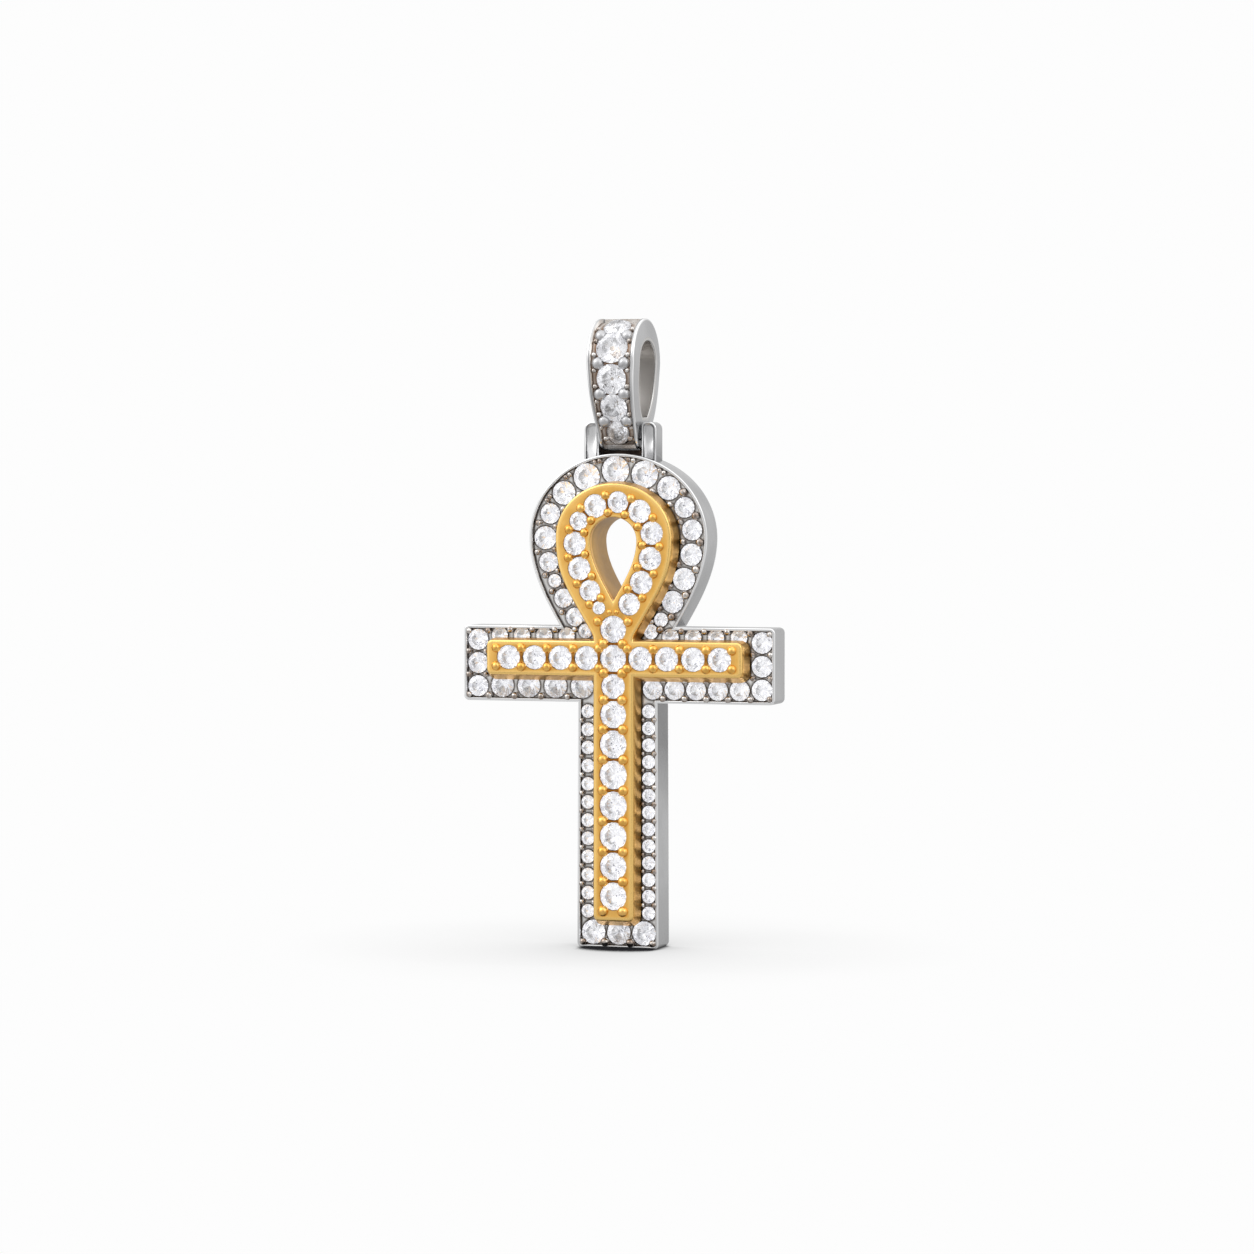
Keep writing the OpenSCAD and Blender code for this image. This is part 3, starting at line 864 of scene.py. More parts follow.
@dataclass(frozen=True)
class Metal:
    """A metal's finish, with a painted highlight colour for its roundings and a painted shade colour for its
    marked points.
    """

    name: str
    colour: Colour
    deep: Colour
    # Lighter colour of its roundings: a painted highlight
    edge: Colour
    roughness: float
    edge_roughness: float
    # Colour of painted shade at marked points
    shade: Colour = (0.06, 0.042, 0.03)
    unevenness: float = 0.05
    cloud_scale: float = 300.0
    grain_scale: float = 6000.0
    grain_stretch: float = 6.0
    bump: float = 0.1

    def made(self, surface: bpy.types.ShaderNodeTree) -> bpy.types.Material:
        """Makes the material.

        Args:
            surface: The metal surface group.

        Returns:
            The material.
        """
        material = bpy.data.materials.new(self.name)
        material.use_nodes = True
        material.node_tree.nodes.clear()
        g = Graph(material.node_tree)
        skin = g.node("Group", node_tree=surface)
        values = {
            "Colour": rgba(self.colour), "Deep colour": rgba(self.deep), "Edge colour": rgba(self.edge),
            "Shade colour": rgba(self.shade), "Cloud scale": self.cloud_scale,
            "Grain scale": self.grain_scale, "Grain stretch": self.grain_stretch,
            "Roughness": self.roughness, "Edge roughness": self.edge_roughness, "Unevenness": self.unevenness,
        }
        for name, value in values.items():
            skin.inputs[name].default_value = value
        # The edge layer carries the painted highlight and the shade layer the painted shade
        for name, layer in (("Edge", EDGE), ("Shade", SHADE)):
            g.tree.links.new(g.node("Attribute", attribute_name=layer).outputs["Fac"], skin.inputs[name])
        bump = g.node("Bump", {"Height": skin.outputs["Height"], "Strength": self.bump, "Distance": 0.00004})
        shader = g.node(
            "BsdfPrincipled",
            {
                "Base Color": skin.outputs["Colour"], "Roughness": skin.outputs["Roughness"],
                "Metallic": 1.0, "Normal": bump.outputs["Normal"],
            },
        )
        g.node("OutputMaterial", {"Surface": shader.outputs[0]})
        return material


@dataclass(frozen=True)
class Crystal:
    """A clear stone's finish: a glass crown over mirror facets with painted reflections, which also glow
    faintly as painted light.
    """

    name: str
    tint: Colour
    bright: Colour
    dim: Colour
    speck: Colour = (0.2, 0.2, 0.25)
    index: float = 2.0
    # Strength of the facets' painted glow
    glow: float = 0.16

    def crown(self) -> bpy.types.Material:
        """Makes the clear material of the crown.

        Returns:
            The material.
        """
        material = bpy.data.materials.new(f"{self.name} crown")
        material.use_nodes = True
        material.node_tree.nodes.clear()
        g = Graph(material.node_tree)
        shader = g.node(
            "BsdfPrincipled",
            {
                "Base Color": rgba(self.tint), "Roughness": 0.0, "IOR": self.index,
                "Transmission Weight": 1.0, "Metallic": 0.0,
            },
        )
        g.node("OutputMaterial", {"Surface": shader.outputs[0]})
        return material

    def pavilion(self, tone: bpy.types.ShaderNodeTree) -> bpy.types.Material:
        """Makes the mirror-bright material of the facets below the girdle, with painted reflections and a
        faint painted glow.

        Args:
            tone: The facet tone group.

        Returns:
            The material.
        """
        material = bpy.data.materials.new(f"{self.name} pavilion")
        material.use_nodes = True
        material.node_tree.nodes.clear()
        g = Graph(material.node_tree)
        facet = g.node("Attribute", attribute_name=FACET).outputs["Fac"]
        look = g.node("Group", node_tree=tone)
        look.inputs["Bright"].default_value = rgba(self.bright)
        look.inputs["Dim"].default_value = rgba(self.dim)
        look.inputs["Speck"].default_value = rgba(self.speck)
        g.tree.links.new(facet, look.inputs["Facet"])
        # The facets' painted tone also feeds a faint emission: painted light
        shader = g.node(
            "BsdfPrincipled",
            {
                "Base Color": look.outputs["Colour"], "Roughness": 0.14, "Metallic": 1.0,
                "Emission Color": look.outputs["Colour"], "Emission Strength": self.glow,
            },
        )
        g.node("OutputMaterial", {"Surface": shader.outputs[0]})
        return material


@dataclass
class Finishes:
    """Every material of the pendant."""

    rhodium: bpy.types.Material
    tray: bpy.types.Material
    recess: bpy.types.Material
    bail_floor: bpy.types.Material
    throat: bpy.types.Material
    silver_bead: bpy.types.Material
    satin_bead: bpy.types.Material
    satin_gold: bpy.types.Material
    gold_bead: bpy.types.Material
    gold_seat_shade: bpy.types.Material
    gold_sleeve: bpy.types.Material
    crown: bpy.types.Material
    pavilion: bpy.types.Material
    smoky_pavilion: bpy.types.Material

    @classmethod
    def made(cls) -> Finishes:
        """Makes them all.

        Returns:
            The finishes.
        """
        surface, tone = metal_surface(), facet_tone()
        metals = {
            # Its light edge colour is a painted highlight along the rims and roundings
            "rhodium": Metal(
                "polished white metal", (0.57, 0.57, 0.575), (0.46, 0.46, 0.465), (0.88, 0.88, 0.885),
                0.2, 0.12, cloud_scale=150.0, grain_scale=5200.0, bump=0.05,
            ),
            "tray": Metal(
                "metal between the stones", (0.8, 0.79, 0.78), (0.66, 0.65, 0.64), (0.8, 0.8, 0.8),
                0.26, 0.2, cloud_scale=900.0, grain_scale=7000.0, bump=0.15,
            ),
            # Near-black metal for the plate's seats, the wall round the gold and the ears' saddle: painted
            # shade
            "recess": Metal(
                "darkened recess", (0.09, 0.065, 0.05), (0.03, 0.022, 0.02), (0.2, 0.17, 0.15),
                0.45, 0.3, cloud_scale=900.0, bump=0.3,
            ),
            "bail_floor": Metal(
                "metal under the bail's stones", (0.74, 0.71, 0.68), (0.5, 0.44, 0.39), (0.6, 0.6, 0.6),
                0.24, 0.2, (0.16, 0.09, 0.05), cloud_scale=700.0, bump=0.2,
            ),
            "throat": Metal(
                "inside of the bail", (0.62, 0.6, 0.58), (0.54, 0.52, 0.5), (0.6, 0.59, 0.58),
                0.34, 0.2, cloud_scale=200.0, bump=0.05,
            ),
            # Its dark brown deep colour makes painted dark reflections on the polished beads
            "silver_bead": Metal(
                "polished silver bead", (0.74, 0.72, 0.7), (0.28, 0.22, 0.18), (0.9, 0.9, 0.9),
                0.09, 0.1, cloud_scale=1500.0, bump=0.05,
            ),
            "satin_bead": Metal(
                "satin silver bead", (0.6, 0.6, 0.61), (0.5, 0.5, 0.51), (0.8, 0.8, 0.8),
                0.36, 0.3, cloud_scale=900.0, grain_scale=9000.0, grain_stretch=1.0, bump=0.2,
            ),
            "satin_gold": Metal(
                "satin gold", (0.96, 0.58, 0.165), (0.84, 0.47, 0.11), (0.97, 0.64, 0.22),
                0.36, 0.24, (0.3, 0.11, 0.015), 0.16, cloud_scale=420.0, grain_scale=9000.0, bump=0.25,
            ),
            "gold_bead": Metal(
                "polished gold bead", (0.9, 0.54, 0.16), (0.76, 0.41, 0.09), (0.95, 0.6, 0.16),
                0.2, 0.15, cloud_scale=1300.0, bump=0.08,
            ),
            # Darker, redder gold for the stones' seats: painted shade in the pits
            "gold_seat_shade": Metal(
                "gold between stones", (0.62, 0.25, 0.02), (0.4, 0.14, 0.01), (0.8, 0.4, 0.08),
                0.3, 0.25, cloud_scale=900.0, bump=0.2,
            ),
            "gold_sleeve": Metal(
                "brushed gold sleeve", (0.62, 0.34, 0.05), (0.46, 0.24, 0.03), (0.85, 0.6, 0.25),
                0.36, 0.25, unevenness=0.2, cloud_scale=300.0, grain_scale=7000.0, grain_stretch=12.0,
                bump=0.25,
            ),
        }
        crystal = Crystal("clear stone", (0.98, 0.985, 1.0), (0.99, 0.99, 1.0), (0.68, 0.68, 0.72))
        # The bail's stones get dimmer facets and darker specks: stronger painted reflections
        smoky = Crystal(
            "bail stone", (0.98, 0.985, 1.0), (0.97, 0.97, 0.98), (0.47, 0.47, 0.5), (0.08, 0.06, 0.05),
            glow=0.14,
        )
        return cls(
            crown=crystal.crown(), pavilion=crystal.pavilion(tone), smoky_pavilion=smoky.pavilion(tone),
            **{name: metal.made(surface) for name, metal in metals.items()},
        )


@dataclass
class Brilliant:
    """A round brilliant of diameter 1, with its girdle's upper edge at the origin and its table up."""

    mains: int = 8

    def sector(self, bm: bmesh.types.BMesh) -> None:
        """Draws one of its sectors.

        Args:
            bm: The mesh to draw it in.
        """
        turn = 2 * math.pi / self.mains
        half = turn / 2

        def point(radius: float, angle: float, level: float) -> bmesh.types.BMVert:
            """Adds a corner.

            Args:
                radius: Its distance from the axis.
                angle: Its angle.
                level: Its level.

            Returns:
                The corner.
            """
            return bm.verts.new((radius * math.cos(angle), radius * math.sin(angle), level))

        table, star, low = TABLE / 2, STAR_REACH / 2, LOWER_REACH / 2
        star_level = CROWN * (0.5 - star * math.cos(half)) / (0.5 - table)
        low_level = -GIRDLE - PAVILION * (1 - 2 * low * math.cos(half))
        centre, culet = point(0, 0, CROWN), point(0, 0, -GIRDLE - PAVILION)
        t0, t1 = point(table, 0, CROWN), point(table, turn, CROWN)
        s = point(star, half, star_level)
        rim = [point(0.5, turn * k / 2, 0) for k in range(3)]
        base = [point(0.5, turn * k / 2, -GIRDLE) for k in range(3)]
        p = point(low, half, low_level)
        for corners in (
            (centre, t0, t1), (t0, s, t1), (t0, rim[0], s),
            (t1, s, rim[2]), (s, rim[0], rim[1]), (s, rim[1], rim[2]),
            (rim[0], base[0], base[1], rim[1]), (rim[1], base[1], base[2], rim[2]),
        ):
            bm.faces.new(corners)
        for corners in (
            (base[0], p, base[1]), (base[1], p, base[2]), (base[0], culet, p), (base[2], p, culet),
        ):
            bm.faces.new(corners).material_index = 1

    def mesh(self) -> bpy.types.Mesh:
        """Spins the sector into a whole stone.

        Returns:
            The stone's mesh.
        """
        bm = bmesh.new()
        tone = bm.faces.layers.float.new(FACET)
        self.sector(bm)
        bmesh.ops.spin(
            bm, geom=bm.verts[:] + bm.edges[:] + bm.faces[:], cent=(0, 0, 0), axis=(0, 0, 1), dvec=(0, 0, 0),
            angle=2 * math.pi * (self.mains - 1) / self.mains, steps=self.mains - 1, use_duplicate=True,
        )
        bmesh.ops.remove_doubles(bm, verts=bm.verts, dist=1e-4)
        bmesh.ops.dissolve_limit(
            bm, angle_limit=math.radians(1), verts=bm.verts, edges=bm.edges, use_dissolve_boundaries=False,
            delimit={"MATERIAL"},
        )
        bmesh.ops.recalc_face_normals(bm, faces=bm.faces)
        for face in bm.faces:
            face[tone] = 1.0
            face.smooth = False
        mesh = bpy.data.meshes.new("brilliant")
        bm.to_mesh(mesh)
        bm.free()
        return mesh


def scattered(first: int, second: int) -> float:
    """Gives each pair of numbers a share of its own, which looks random and stays the same.

    Args:
        first: The first number.
        second: The second number.

    Returns:
        The share, 0 to 1.
    """
    mark = math.sin(12.9898 * first + 78.233 * second) * 43758.5453
    return mark - math.floor(mark)


@dataclass
class Stones:
    """Cuts the stones and fuses each row into a piece."""

    bench: Bench
    finishes: Finishes
    unit: bpy.types.Mesh = field(default_factory=lambda: Brilliant().mesh())
    turn: float = 2.39996
    # Share of facets painted dim, and their least tone: painted reflections
    dim_share: float = 0.3
    least_tone: float = 0.35

    def piece(
        self, name: str, stones: Sequence[SetStone], body: Body, slot: Slot, replaced: Sequence[str]
    ) -> bpy.types.Object:
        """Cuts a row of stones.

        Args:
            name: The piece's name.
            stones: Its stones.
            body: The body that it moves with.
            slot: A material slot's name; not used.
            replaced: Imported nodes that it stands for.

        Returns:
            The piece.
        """
        forge = Forge()
        for n, stone in enumerate(stones):
            turn = Matrix.Rotation(self.turn * (n + 1) * (len(name) % 7 + 1), 4, "Z")
            place = Matrix.Translation(stone.girdle) @ stone.up.to_track_quat("Z", "Y").to_matrix().to_4x4()
            faces = forge.add(self.unit, place @ Matrix.Scale(stone.diameter, 4) @ turn)
            for k, face in enumerate(faces):
                share = scattered(n + 1, k + 1)
                face[forge.facet] = 1.0 if share > self.dim_share else self.least_tone + share
        mesh = forge.finish(name, self.bench, recalculate=False)
        below = self.finishes.smoky_pavilion if body is Body.BAIL else self.finishes.pavilion
        return show(name, mesh, [self.finishes.crown, below], body, replaced)


@dataclass(frozen=True)
class Bead:
    """A bead of metal: its centre and its radius."""

    centre: Vector
    radius: float


@dataclass(frozen=True)
class BeadLine:
    """How beads stand along one side of a row of stones.

    The side is 1 for the left of the row's way and -1 for its right. The reach is a share of a stone's
    diameter, and a split sets two beads side by side.
    """

    side: int
    reach: float
    radius: float
    depth: float
    split: float = 0.0

    def turned(self, hand: int) -> BeadLine:
        """Gives the same line at the other side where the hand is -1."""
        return replace(self, side=self.side * hand)

    def along(self, row: Sequence[SetStone]) -> list[Bead]:
        """Places a bead between each two stones of a row.

        Args:
            row: The stones in order.

        Returns:
            The beads.
        """
        made = []
        for a, b in zip(row, row[1:]):
            gap = b.flat - a.flat
            way = gap.normalized()
            at = a.flat + way * (gap.length + a.diameter / 2 - b.diameter / 2) / 2
            off = Vector((-way.y, way.x)) * self.side * self.reach * (a.diameter + b.diameter) / 2
            for step in (-self.split, self.split) if self.split else (0.0,):
                spot = at + off + way * step
                made.append(Bead(Vector((spot.x, self.depth, spot.y)), self.radius))
        return made


@dataclass
class BeadBox:
    """Fuses beads into pieces."""

    bench: Bench
    fineness: int = 2

    def piece(
        self, name: str, beads: Sequence[Bead], finish: bpy.types.Material, body: Body, slot: Slot
    ) -> bpy.types.Object:
        """Makes a piece of many beads.

        Args:
            name: The piece's name.
            beads: Its beads.
            finish: Its material.
            body: The body that it moves with.
            slot: A material slot's name; not used.

        Returns:
            The piece.
        """
        forge = Forge()
        for bead in beads:
            place = Matrix.Translation(bead.centre)
            bmesh.ops.create_icosphere(
                forge.bm, subdivisions=self.fineness, radius=bead.radius, matrix=place
            )
        for face in forge.bm.faces:
            face.smooth = True
        return show(name, forge.finish(name, self.bench, recalculate=False), [finish], body)


@dataclass
class GoldAnkh:
    """The raised gold ankh, with its seats and the sleeve through the plate.

    A bead's line or place is its reach and its radius, and a corner bead's is how far across and up from a
    stone it stands, and its radius.
    """

    bench: Bench
    finishes: Finishes
    raise_: float = 1.45
    draft: float = 0.4
    arm_span: float = 25.3
    arm_height: float = 3.2
    arm_lift: float = 0.65
    neck_rise: float = 0.45
    stem_width: float = 3.85
    foot: float = -24.2
    loop_width: float = 11.4
    loop_level: float = 12.1
    loop_rise: float = 5.1
    hole_width: float = 4.6
    hole_level: float = 11.8
    hole_rise: float = 2.2
    hole_point: float = 6.0
    sleeve: float = 0.5
    thickness: float = 3.7
    corner: float = 0.5
    least_corner: float = 0.12
    face_round: float = 0.34
    face_flat: float = 0.4
    sag: float = 0.5
    hole_round: float = 0.2
    hole_flat: float = 0.3
    hole_turn: float = 0.6
    sleeve_round: float = 0.08
    seat_gap: float = 0.03
    seat_points: int = 20
    # Gaps between seats that are wholly and not at all painted in shade, and the least painted shade at a
    # seat
    painted_shade_gap: Flat = (0.25, 0.55)
    least_painted_shade: float = 0.25
    bead_sink: float = 0.08
    stem_beads: Flat = (0.375, 0.55)
    loop_beads: Flat = (0.385, 0.47)
    arm_beads: Flat = (0.385, 0.5)
    arm_end_bead: Rib = (0.08, 0.87, 0.48)
    stem_end_bead: Rib = (0.98, 0.1, 0.55)
    junction_beads: tuple[Rib, ...] = ((0.36, 1.62, 0.28), (1.5, 0.72, 0.5))

    def outline(self, grow: float) -> list[Flat]:
        """Outline of the ankh, grown on every side.

        Args:
            grow: How far it is grown.

        Returns:
            The ring.
        """
        half_stem = self.stem_width / 2 + grow
        top = self.arm_lift + self.arm_height / 2 + grow
        bottom = self.arm_lift - self.arm_height / 2 - grow
        end = self.arm_span / 2 + grow
        neck = self.arm_lift + self.arm_height / 2 + self.neck_rise
        loop = loop_half(
            self.loop_width / 2 + grow, self.loop_rise + grow, self.loop_level,
            (half_stem, neck), GOLD_BELLY, 40,
        )
        loop.append((half_stem, self.arm_lift))
        kept = [p for p in loop if p[1] > top]
        below = loop[len(kept)]
        share = (kept[-1][1] - top) / (kept[-1][1] - below[1])
        kept.append((kept[-1][0] + share * (below[0] - kept[-1][0]), top))
        corner = max(self.corner + grow, self.least_corner)
        return mirrored(
            resampled(kept, 56)
            + rounded((end, top), (1, 0), (0, -1), corner)
            + rounded((end, bottom), (0, -1), (-1, 0), corner)
            + [(half_stem, bottom)]
            + rounded((half_stem, self.foot - grow), (0, -1), (-1, 0), corner)
            + [(0.0, self.foot - grow)]
        )

    def hole(self, grow: float) -> list[Flat]:
        """Outline of the drop-shaped hole, grown on every side.

        Args:
            grow: How far it is grown.

        Returns:
            The ring.
        """
        return mirrored(
            loop_half(
                self.hole_width / 2 + grow, self.hole_rise + grow, self.hole_level,
                (0.0, self.hole_point - 2 * grow), HOLE_BELLY, 20,
            )
        )

    def build(self, stones: Sequence[SetStone]) -> bpy.types.Object:
        """Makes the ankh, with a seat for each of its stones.

        Args:
            stones: The stones that it holds.

        Returns:
            The piece.
        """
        forge = Forge()
        face = -self.raise_
        base, outer = forge.wall(
            lambda reach, depth: standing(
                [(x, z - self.sag * max(0, reach)) for x, z in self.outline(reach)], depth
            ),
            eased([(self.draft, 0, 0), (0, face, self.face_round), (-self.face_flat, face, 0)]),
        )
        inner, back = forge.wall(
            lambda reach, depth: standing(self.hole(reach), depth),
            eased([(self.hole_flat, face, 0), (0, face, self.hole_round), (0, face + self.hole_turn, 0)]),
        )
        for reach, depth in (
            (0, self.thickness - self.sleeve_round), (self.sleeve_round, self.thickness),
            (self.sleeve, self.thickness), (self.sleeve, 0),
        ):
            back = forge.sweep(back, standing(self.hole(reach), depth), finish=1)
        rims = forge.rims(stones, face, self.seat_gap, self.seat_points)
        rings = [ring for ring, _, _ in rims]
        # Painted shade: the gold face turns darker where seats stand close together
        forge.paint_gap_shade(rings, *self.painted_shade_gap, self.least_painted_shade)
        forge.fill(outer, inner, *rings)
        # The seats take the darker gold: painted shade in the pits
        forge.seats(rims, self.seat_gap, finish=2)
        forge.fill(base, back)
        mesh = forge.finish("gold_ankh_body", self.bench)
        finishes = [self.finishes.satin_gold, self.finishes.gold_sleeve, self.finishes.gold_seat_shade]
        return show("gold_ankh_body", mesh, finishes, Body.PENDANT, ["gold_ankh"])

    def beads(self, rows: dict[str, list[SetStone]]) -> list[Bead]:
        """Places the gold beads.

        Args:
            rows: The gold ankh's rows of stones.

        Returns:
            The beads.
        """
        level = -self.raise_ + self.bead_sink

        def beside(stone: SetStone, across: float, up: float, radius: float) -> Bead:
            """Places a bead beside a stone.

            Args:
                stone: The stone.
                across: How far to its right it stands.
                up: How far above it.
                radius: The bead's radius.

            Returns:
                The bead.
            """
            return Bead(Vector((stone.girdle.x + across, level, stone.girdle.z + up)), radius)

        centre, junction = rows["centre"][0], rows["junction"][0]
        made = []
        for side in (-1, 1):
            for (reach, radius), row in (
                (self.stem_beads, [junction, centre, *rows["stem"]]), (self.loop_beads, rows["loop"]),
                (self.arm_beads, [centre, *rows["left_arm"]]), (self.arm_beads, [centre, *rows["right_arm"]]),
            ):
                made += BeadLine(side, reach, radius, level).along(row)
            past, off, radius = self.arm_end_bead
            for row, way in (("left_arm", -1), ("right_arm", 1)):
                last = rows[row][-1]
                made.append(beside(last, way * (last.diameter / 2 + past), side * off, radius))
            last = rows["stem"][-1]
            off, past, radius = self.stem_end_bead
            made.append(beside(last, side * off, -last.diameter / 2 - past, radius))
            for across, up, radius in self.junction_beads:
                made.append(beside(junction, side * across, up, radius))
        return made


@dataclass(frozen=True)
class PlateBeads:
    """Bead lines of the plate, whose sides and ends are drawn for the right arm and turned for the left."""

    head_left: BeadLine = BeadLine(1, 0.44, 0.33, 0.14)
    head_top: BeadLine = BeadLine(1, 0.44, 0.26, 0.12, 0.24)
    head_right: BeadLine = BeadLine(1, 0.42, 0.43, 0.12)
    head_inner: BeadLine = BeadLine(-1, 0.41, 0.31, 0.14)
    end_inner: BeadLine = BeadLine(-1, 0.42, 0.28, 0.12)
    end_outer: BeadLine = BeadLine(1, 0.43, 0.3, 0.12)
    upper_outer: BeadLine = BeadLine(1, 0.34, 0.34, 0.1)
    upper_inner: BeadLine = BeadLine(-1, 0.38, 0.2, 0.16)
    lower_outer: BeadLine = BeadLine(-1, 0.42, 0.37, 0.1)
    lower_inner: BeadLine = BeadLine(1, 0.42, 0.26, 0.12)
    side_inner: BeadLine = BeadLine(-1, 0.43, 0.22, 0.14)
    side_left: BeadLine = BeadLine(1, 0.45, 0.27, 0.12)
    side_right: BeadLine = BeadLine(1, 0.45, 0.31, 0.12)
    foot_outer: BeadLine = BeadLine(-1, 0.385, 0.46, 0.02)
    foot_inner: BeadLine = BeadLine(1, 0.36, 0.24, 0.14)
    corner_reach: float = 0.4
    corner_depth: float = 0.08
    arm_corner: float = 0.3
    foot_corner: float = 0.36

    def corner(self, stone: SetStone, across: int, up: int, radius: float) -> Bead:
        """Places a bead in the corner beyond a stone.

        Args:
            stone: The stone.
            across: 1 for its right, -1 for its left.
            up: 1 for above it, -1 for below.
            radius: The bead's radius.

        Returns:
            The bead.
        """
        off = self.corner_reach * stone.diameter
        place = (stone.girdle.x + across * off, self.corner_depth, stone.girdle.z + up * off)
        return Bead(Vector(place), radius)


@dataclass
class Plate:
    """The white-metal plate, with its rim, its tray and its seats."""

    bench: Bench
    finishes: Finishes
    arm_span: float = 31.0
    arm_height: float = 7.2
    stem_width: float = 7.9
    foot_width: float = 8.1
    stem_drop: float = 27.0
    thickness: float = 3.7
    corner: float = 0.5
    rim: float = 0.26
    tray: float = 0.4
    head_width: float = 17.7
    head_level: float = 12.0
    head_rise: float = 8.0
    neck_width: float = 11.5
    neck_lean: float = 1.5
    pedestal_inset: float = 0.65
    seat_gap: float = 0.03
    seat_points: int = 16
    sleeve_gap: float = 0.05
    least_corner: float = 0.1
    back_round: float = 0.35
    back_flat: float = 0.9
    front_round: float = 0.1
    rim_round: float = 0.05
    # Distances from the stones and rims over which the tray is painted in shade
    painted_shade_gap: Flat = (0.05, 0.23)
    upper_rise: float = 0.2
    upper_lift: float = 0.05
    upper_limit: float = 3.05
    crossing: float = 2.2
    end_band: float = 2.3
    foot_band: float = 2.4
    head_centre: float = 10.5
    bead_lines: PlateBeads = PlateBeads()

    def outline(self, inset: float) -> list[Flat]:
        """Outline of the plate, drawn in on every side.

        Args:
            inset: How far it is drawn in.

        Returns:
            The ring.
        """
        top, end = self.arm_height / 2 - inset, self.arm_span / 2 - inset
        radius = max(self.corner - inset, self.least_corner)
        half = loop_half(
            self.head_width / 2 - inset, self.head_rise - inset, self.head_level,
            (self.neck_width / 2 - self.neck_lean * inset, top), HEAD_BELLY, 40,
        )
        half += rounded((end, top), (1, 0), (0, -1), radius)
        half += rounded((end, -top), (0, -1), (-1, 0), radius)
        half.append((self.stem_width / 2 - inset, -top))
        half += rounded((self.foot_width / 2 - inset, -self.stem_drop + inset), (0, -1), (-1, 0), radius)
        half.append((0.0, -self.stem_drop + inset))
        return mirrored(half)

    def build(self, gold: GoldAnkh, stones: Sequence[SetStone]) -> bpy.types.Object:
        """Makes the plate, with a seat for each of its stones.

        Args:
            gold: The gold ankh that stands on it.
            stones: The stones that it holds.

        Returns:
            The piece.
        """
        forge = Forge()
        lines = eased(
            [
                (self.back_flat, self.thickness, 0), (0, self.thickness, self.back_round),
                (0, 0, self.front_round), (self.rim, 0, self.rim_round), (self.rim, self.tray, 0),
            ]
        )
        back, tray = forge.wall(lambda reach, depth: standing(self.outline(reach), depth), lines)
        pedestal, top = forge.wall(
            lambda reach, depth: standing(gold.outline(reach), depth),
            [(-self.pedestal_inset, self.tray, 0), (-self.pedestal_inset, 0, 0)], finish=1,
        )
        hole = gold.sleeve + self.sleeve_gap
        well, mouth = forge.wall(
            lambda reach, depth: standing(gold.hole(reach), depth),
            [(hole, 0, 0), (hole, self.thickness, 0)],
        )
        rims = forge.rims(stones, self.tray, self.seat_gap, self.seat_points)
        bounds = [tray, pedestal, *(ring for ring, _, _ in rims)]
        forge.fill(*bounds, finish=2)
        # The seats, the pedestal's wall and the flat under the gold take the near-black metal: painted shade
        forge.seats(rims, self.seat_gap, finish=1)
        forge.fill(top, well, finish=1)
        forge.fill(back, mouth)
        # Painted shade: a dark outline round the stones and along the rim
        forge.paint_outline_shade(bounds, *self.painted_shade_gap, self.tray, finish=2)
        mesh = forge.finish("plate_body", self.bench)
        finishes = [self.finishes.rhodium, self.finishes.recess, self.finishes.tray]
        return show("plate_body", mesh, finishes, Body.PENDANT, ["base_plate"])

    def eased_up(self, stones: Sequence[SetStone]) -> list[SetStone]:
        """Sets the rows above the gold arms a little higher, clear of the gold's edge.

        Args:
            stones: The plate's stones.

        Returns:
            All of them.
        """
        end = self.arm_span / 2 - self.end_band
        shift = Vector((0, -self.upper_lift, self.upper_rise))
        return [
            SetStone(s.girdle + shift, s.up, s.diameter)
            if 0 < s.girdle.z < self.upper_limit and self.crossing < abs(s.girdle.x) < end else s
            for s in stones
        ]

    def rows(self, stones: Sequence[SetStone]) -> dict[str, list[SetStone]]:
        """Sorts the plate's stones into rows.

        Args:
            stones: The stones.

        Returns:
            The rows, each in its order.
        """
        names = (
            "head", "left_end", "right_end", "upper_left", "upper_right",
            "lower_left", "lower_right", "side_left", "side_right", "foot",
        )
        found: dict[str, list[SetStone]] = {name: [] for name in names}
        for stone in stones:
            x, z = stone.flat
            hand = "left" if x < 0 else "right"
            if z < -self.stem_drop + self.foot_band:
                found["foot"].append(stone)
            elif z < -self.arm_height / 2:
                found[f"side_{hand}"].append(stone)
            elif z < self.arm_height / 2 and abs(x) > self.arm_span / 2 - self.end_band:
                found[f"{hand}_end"].append(stone)
            elif z < 0:
                found[f"lower_{hand}"].append(stone)
            elif z < self.upper_limit:
                found[f"upper_{hand}"].append(stone)
            else:
                found["head"].append(stone)
        found["head"].sort(key=lambda s: math.atan2(s.flat.x, s.flat.y - self.head_centre))
        for name, row in found.items():
            if name.startswith("side") or name.endswith("end"):
                row.sort(key=lambda s: -s.flat.y)
            elif name != "head":
                row.sort(key=lambda s: s.flat.x)
        return found

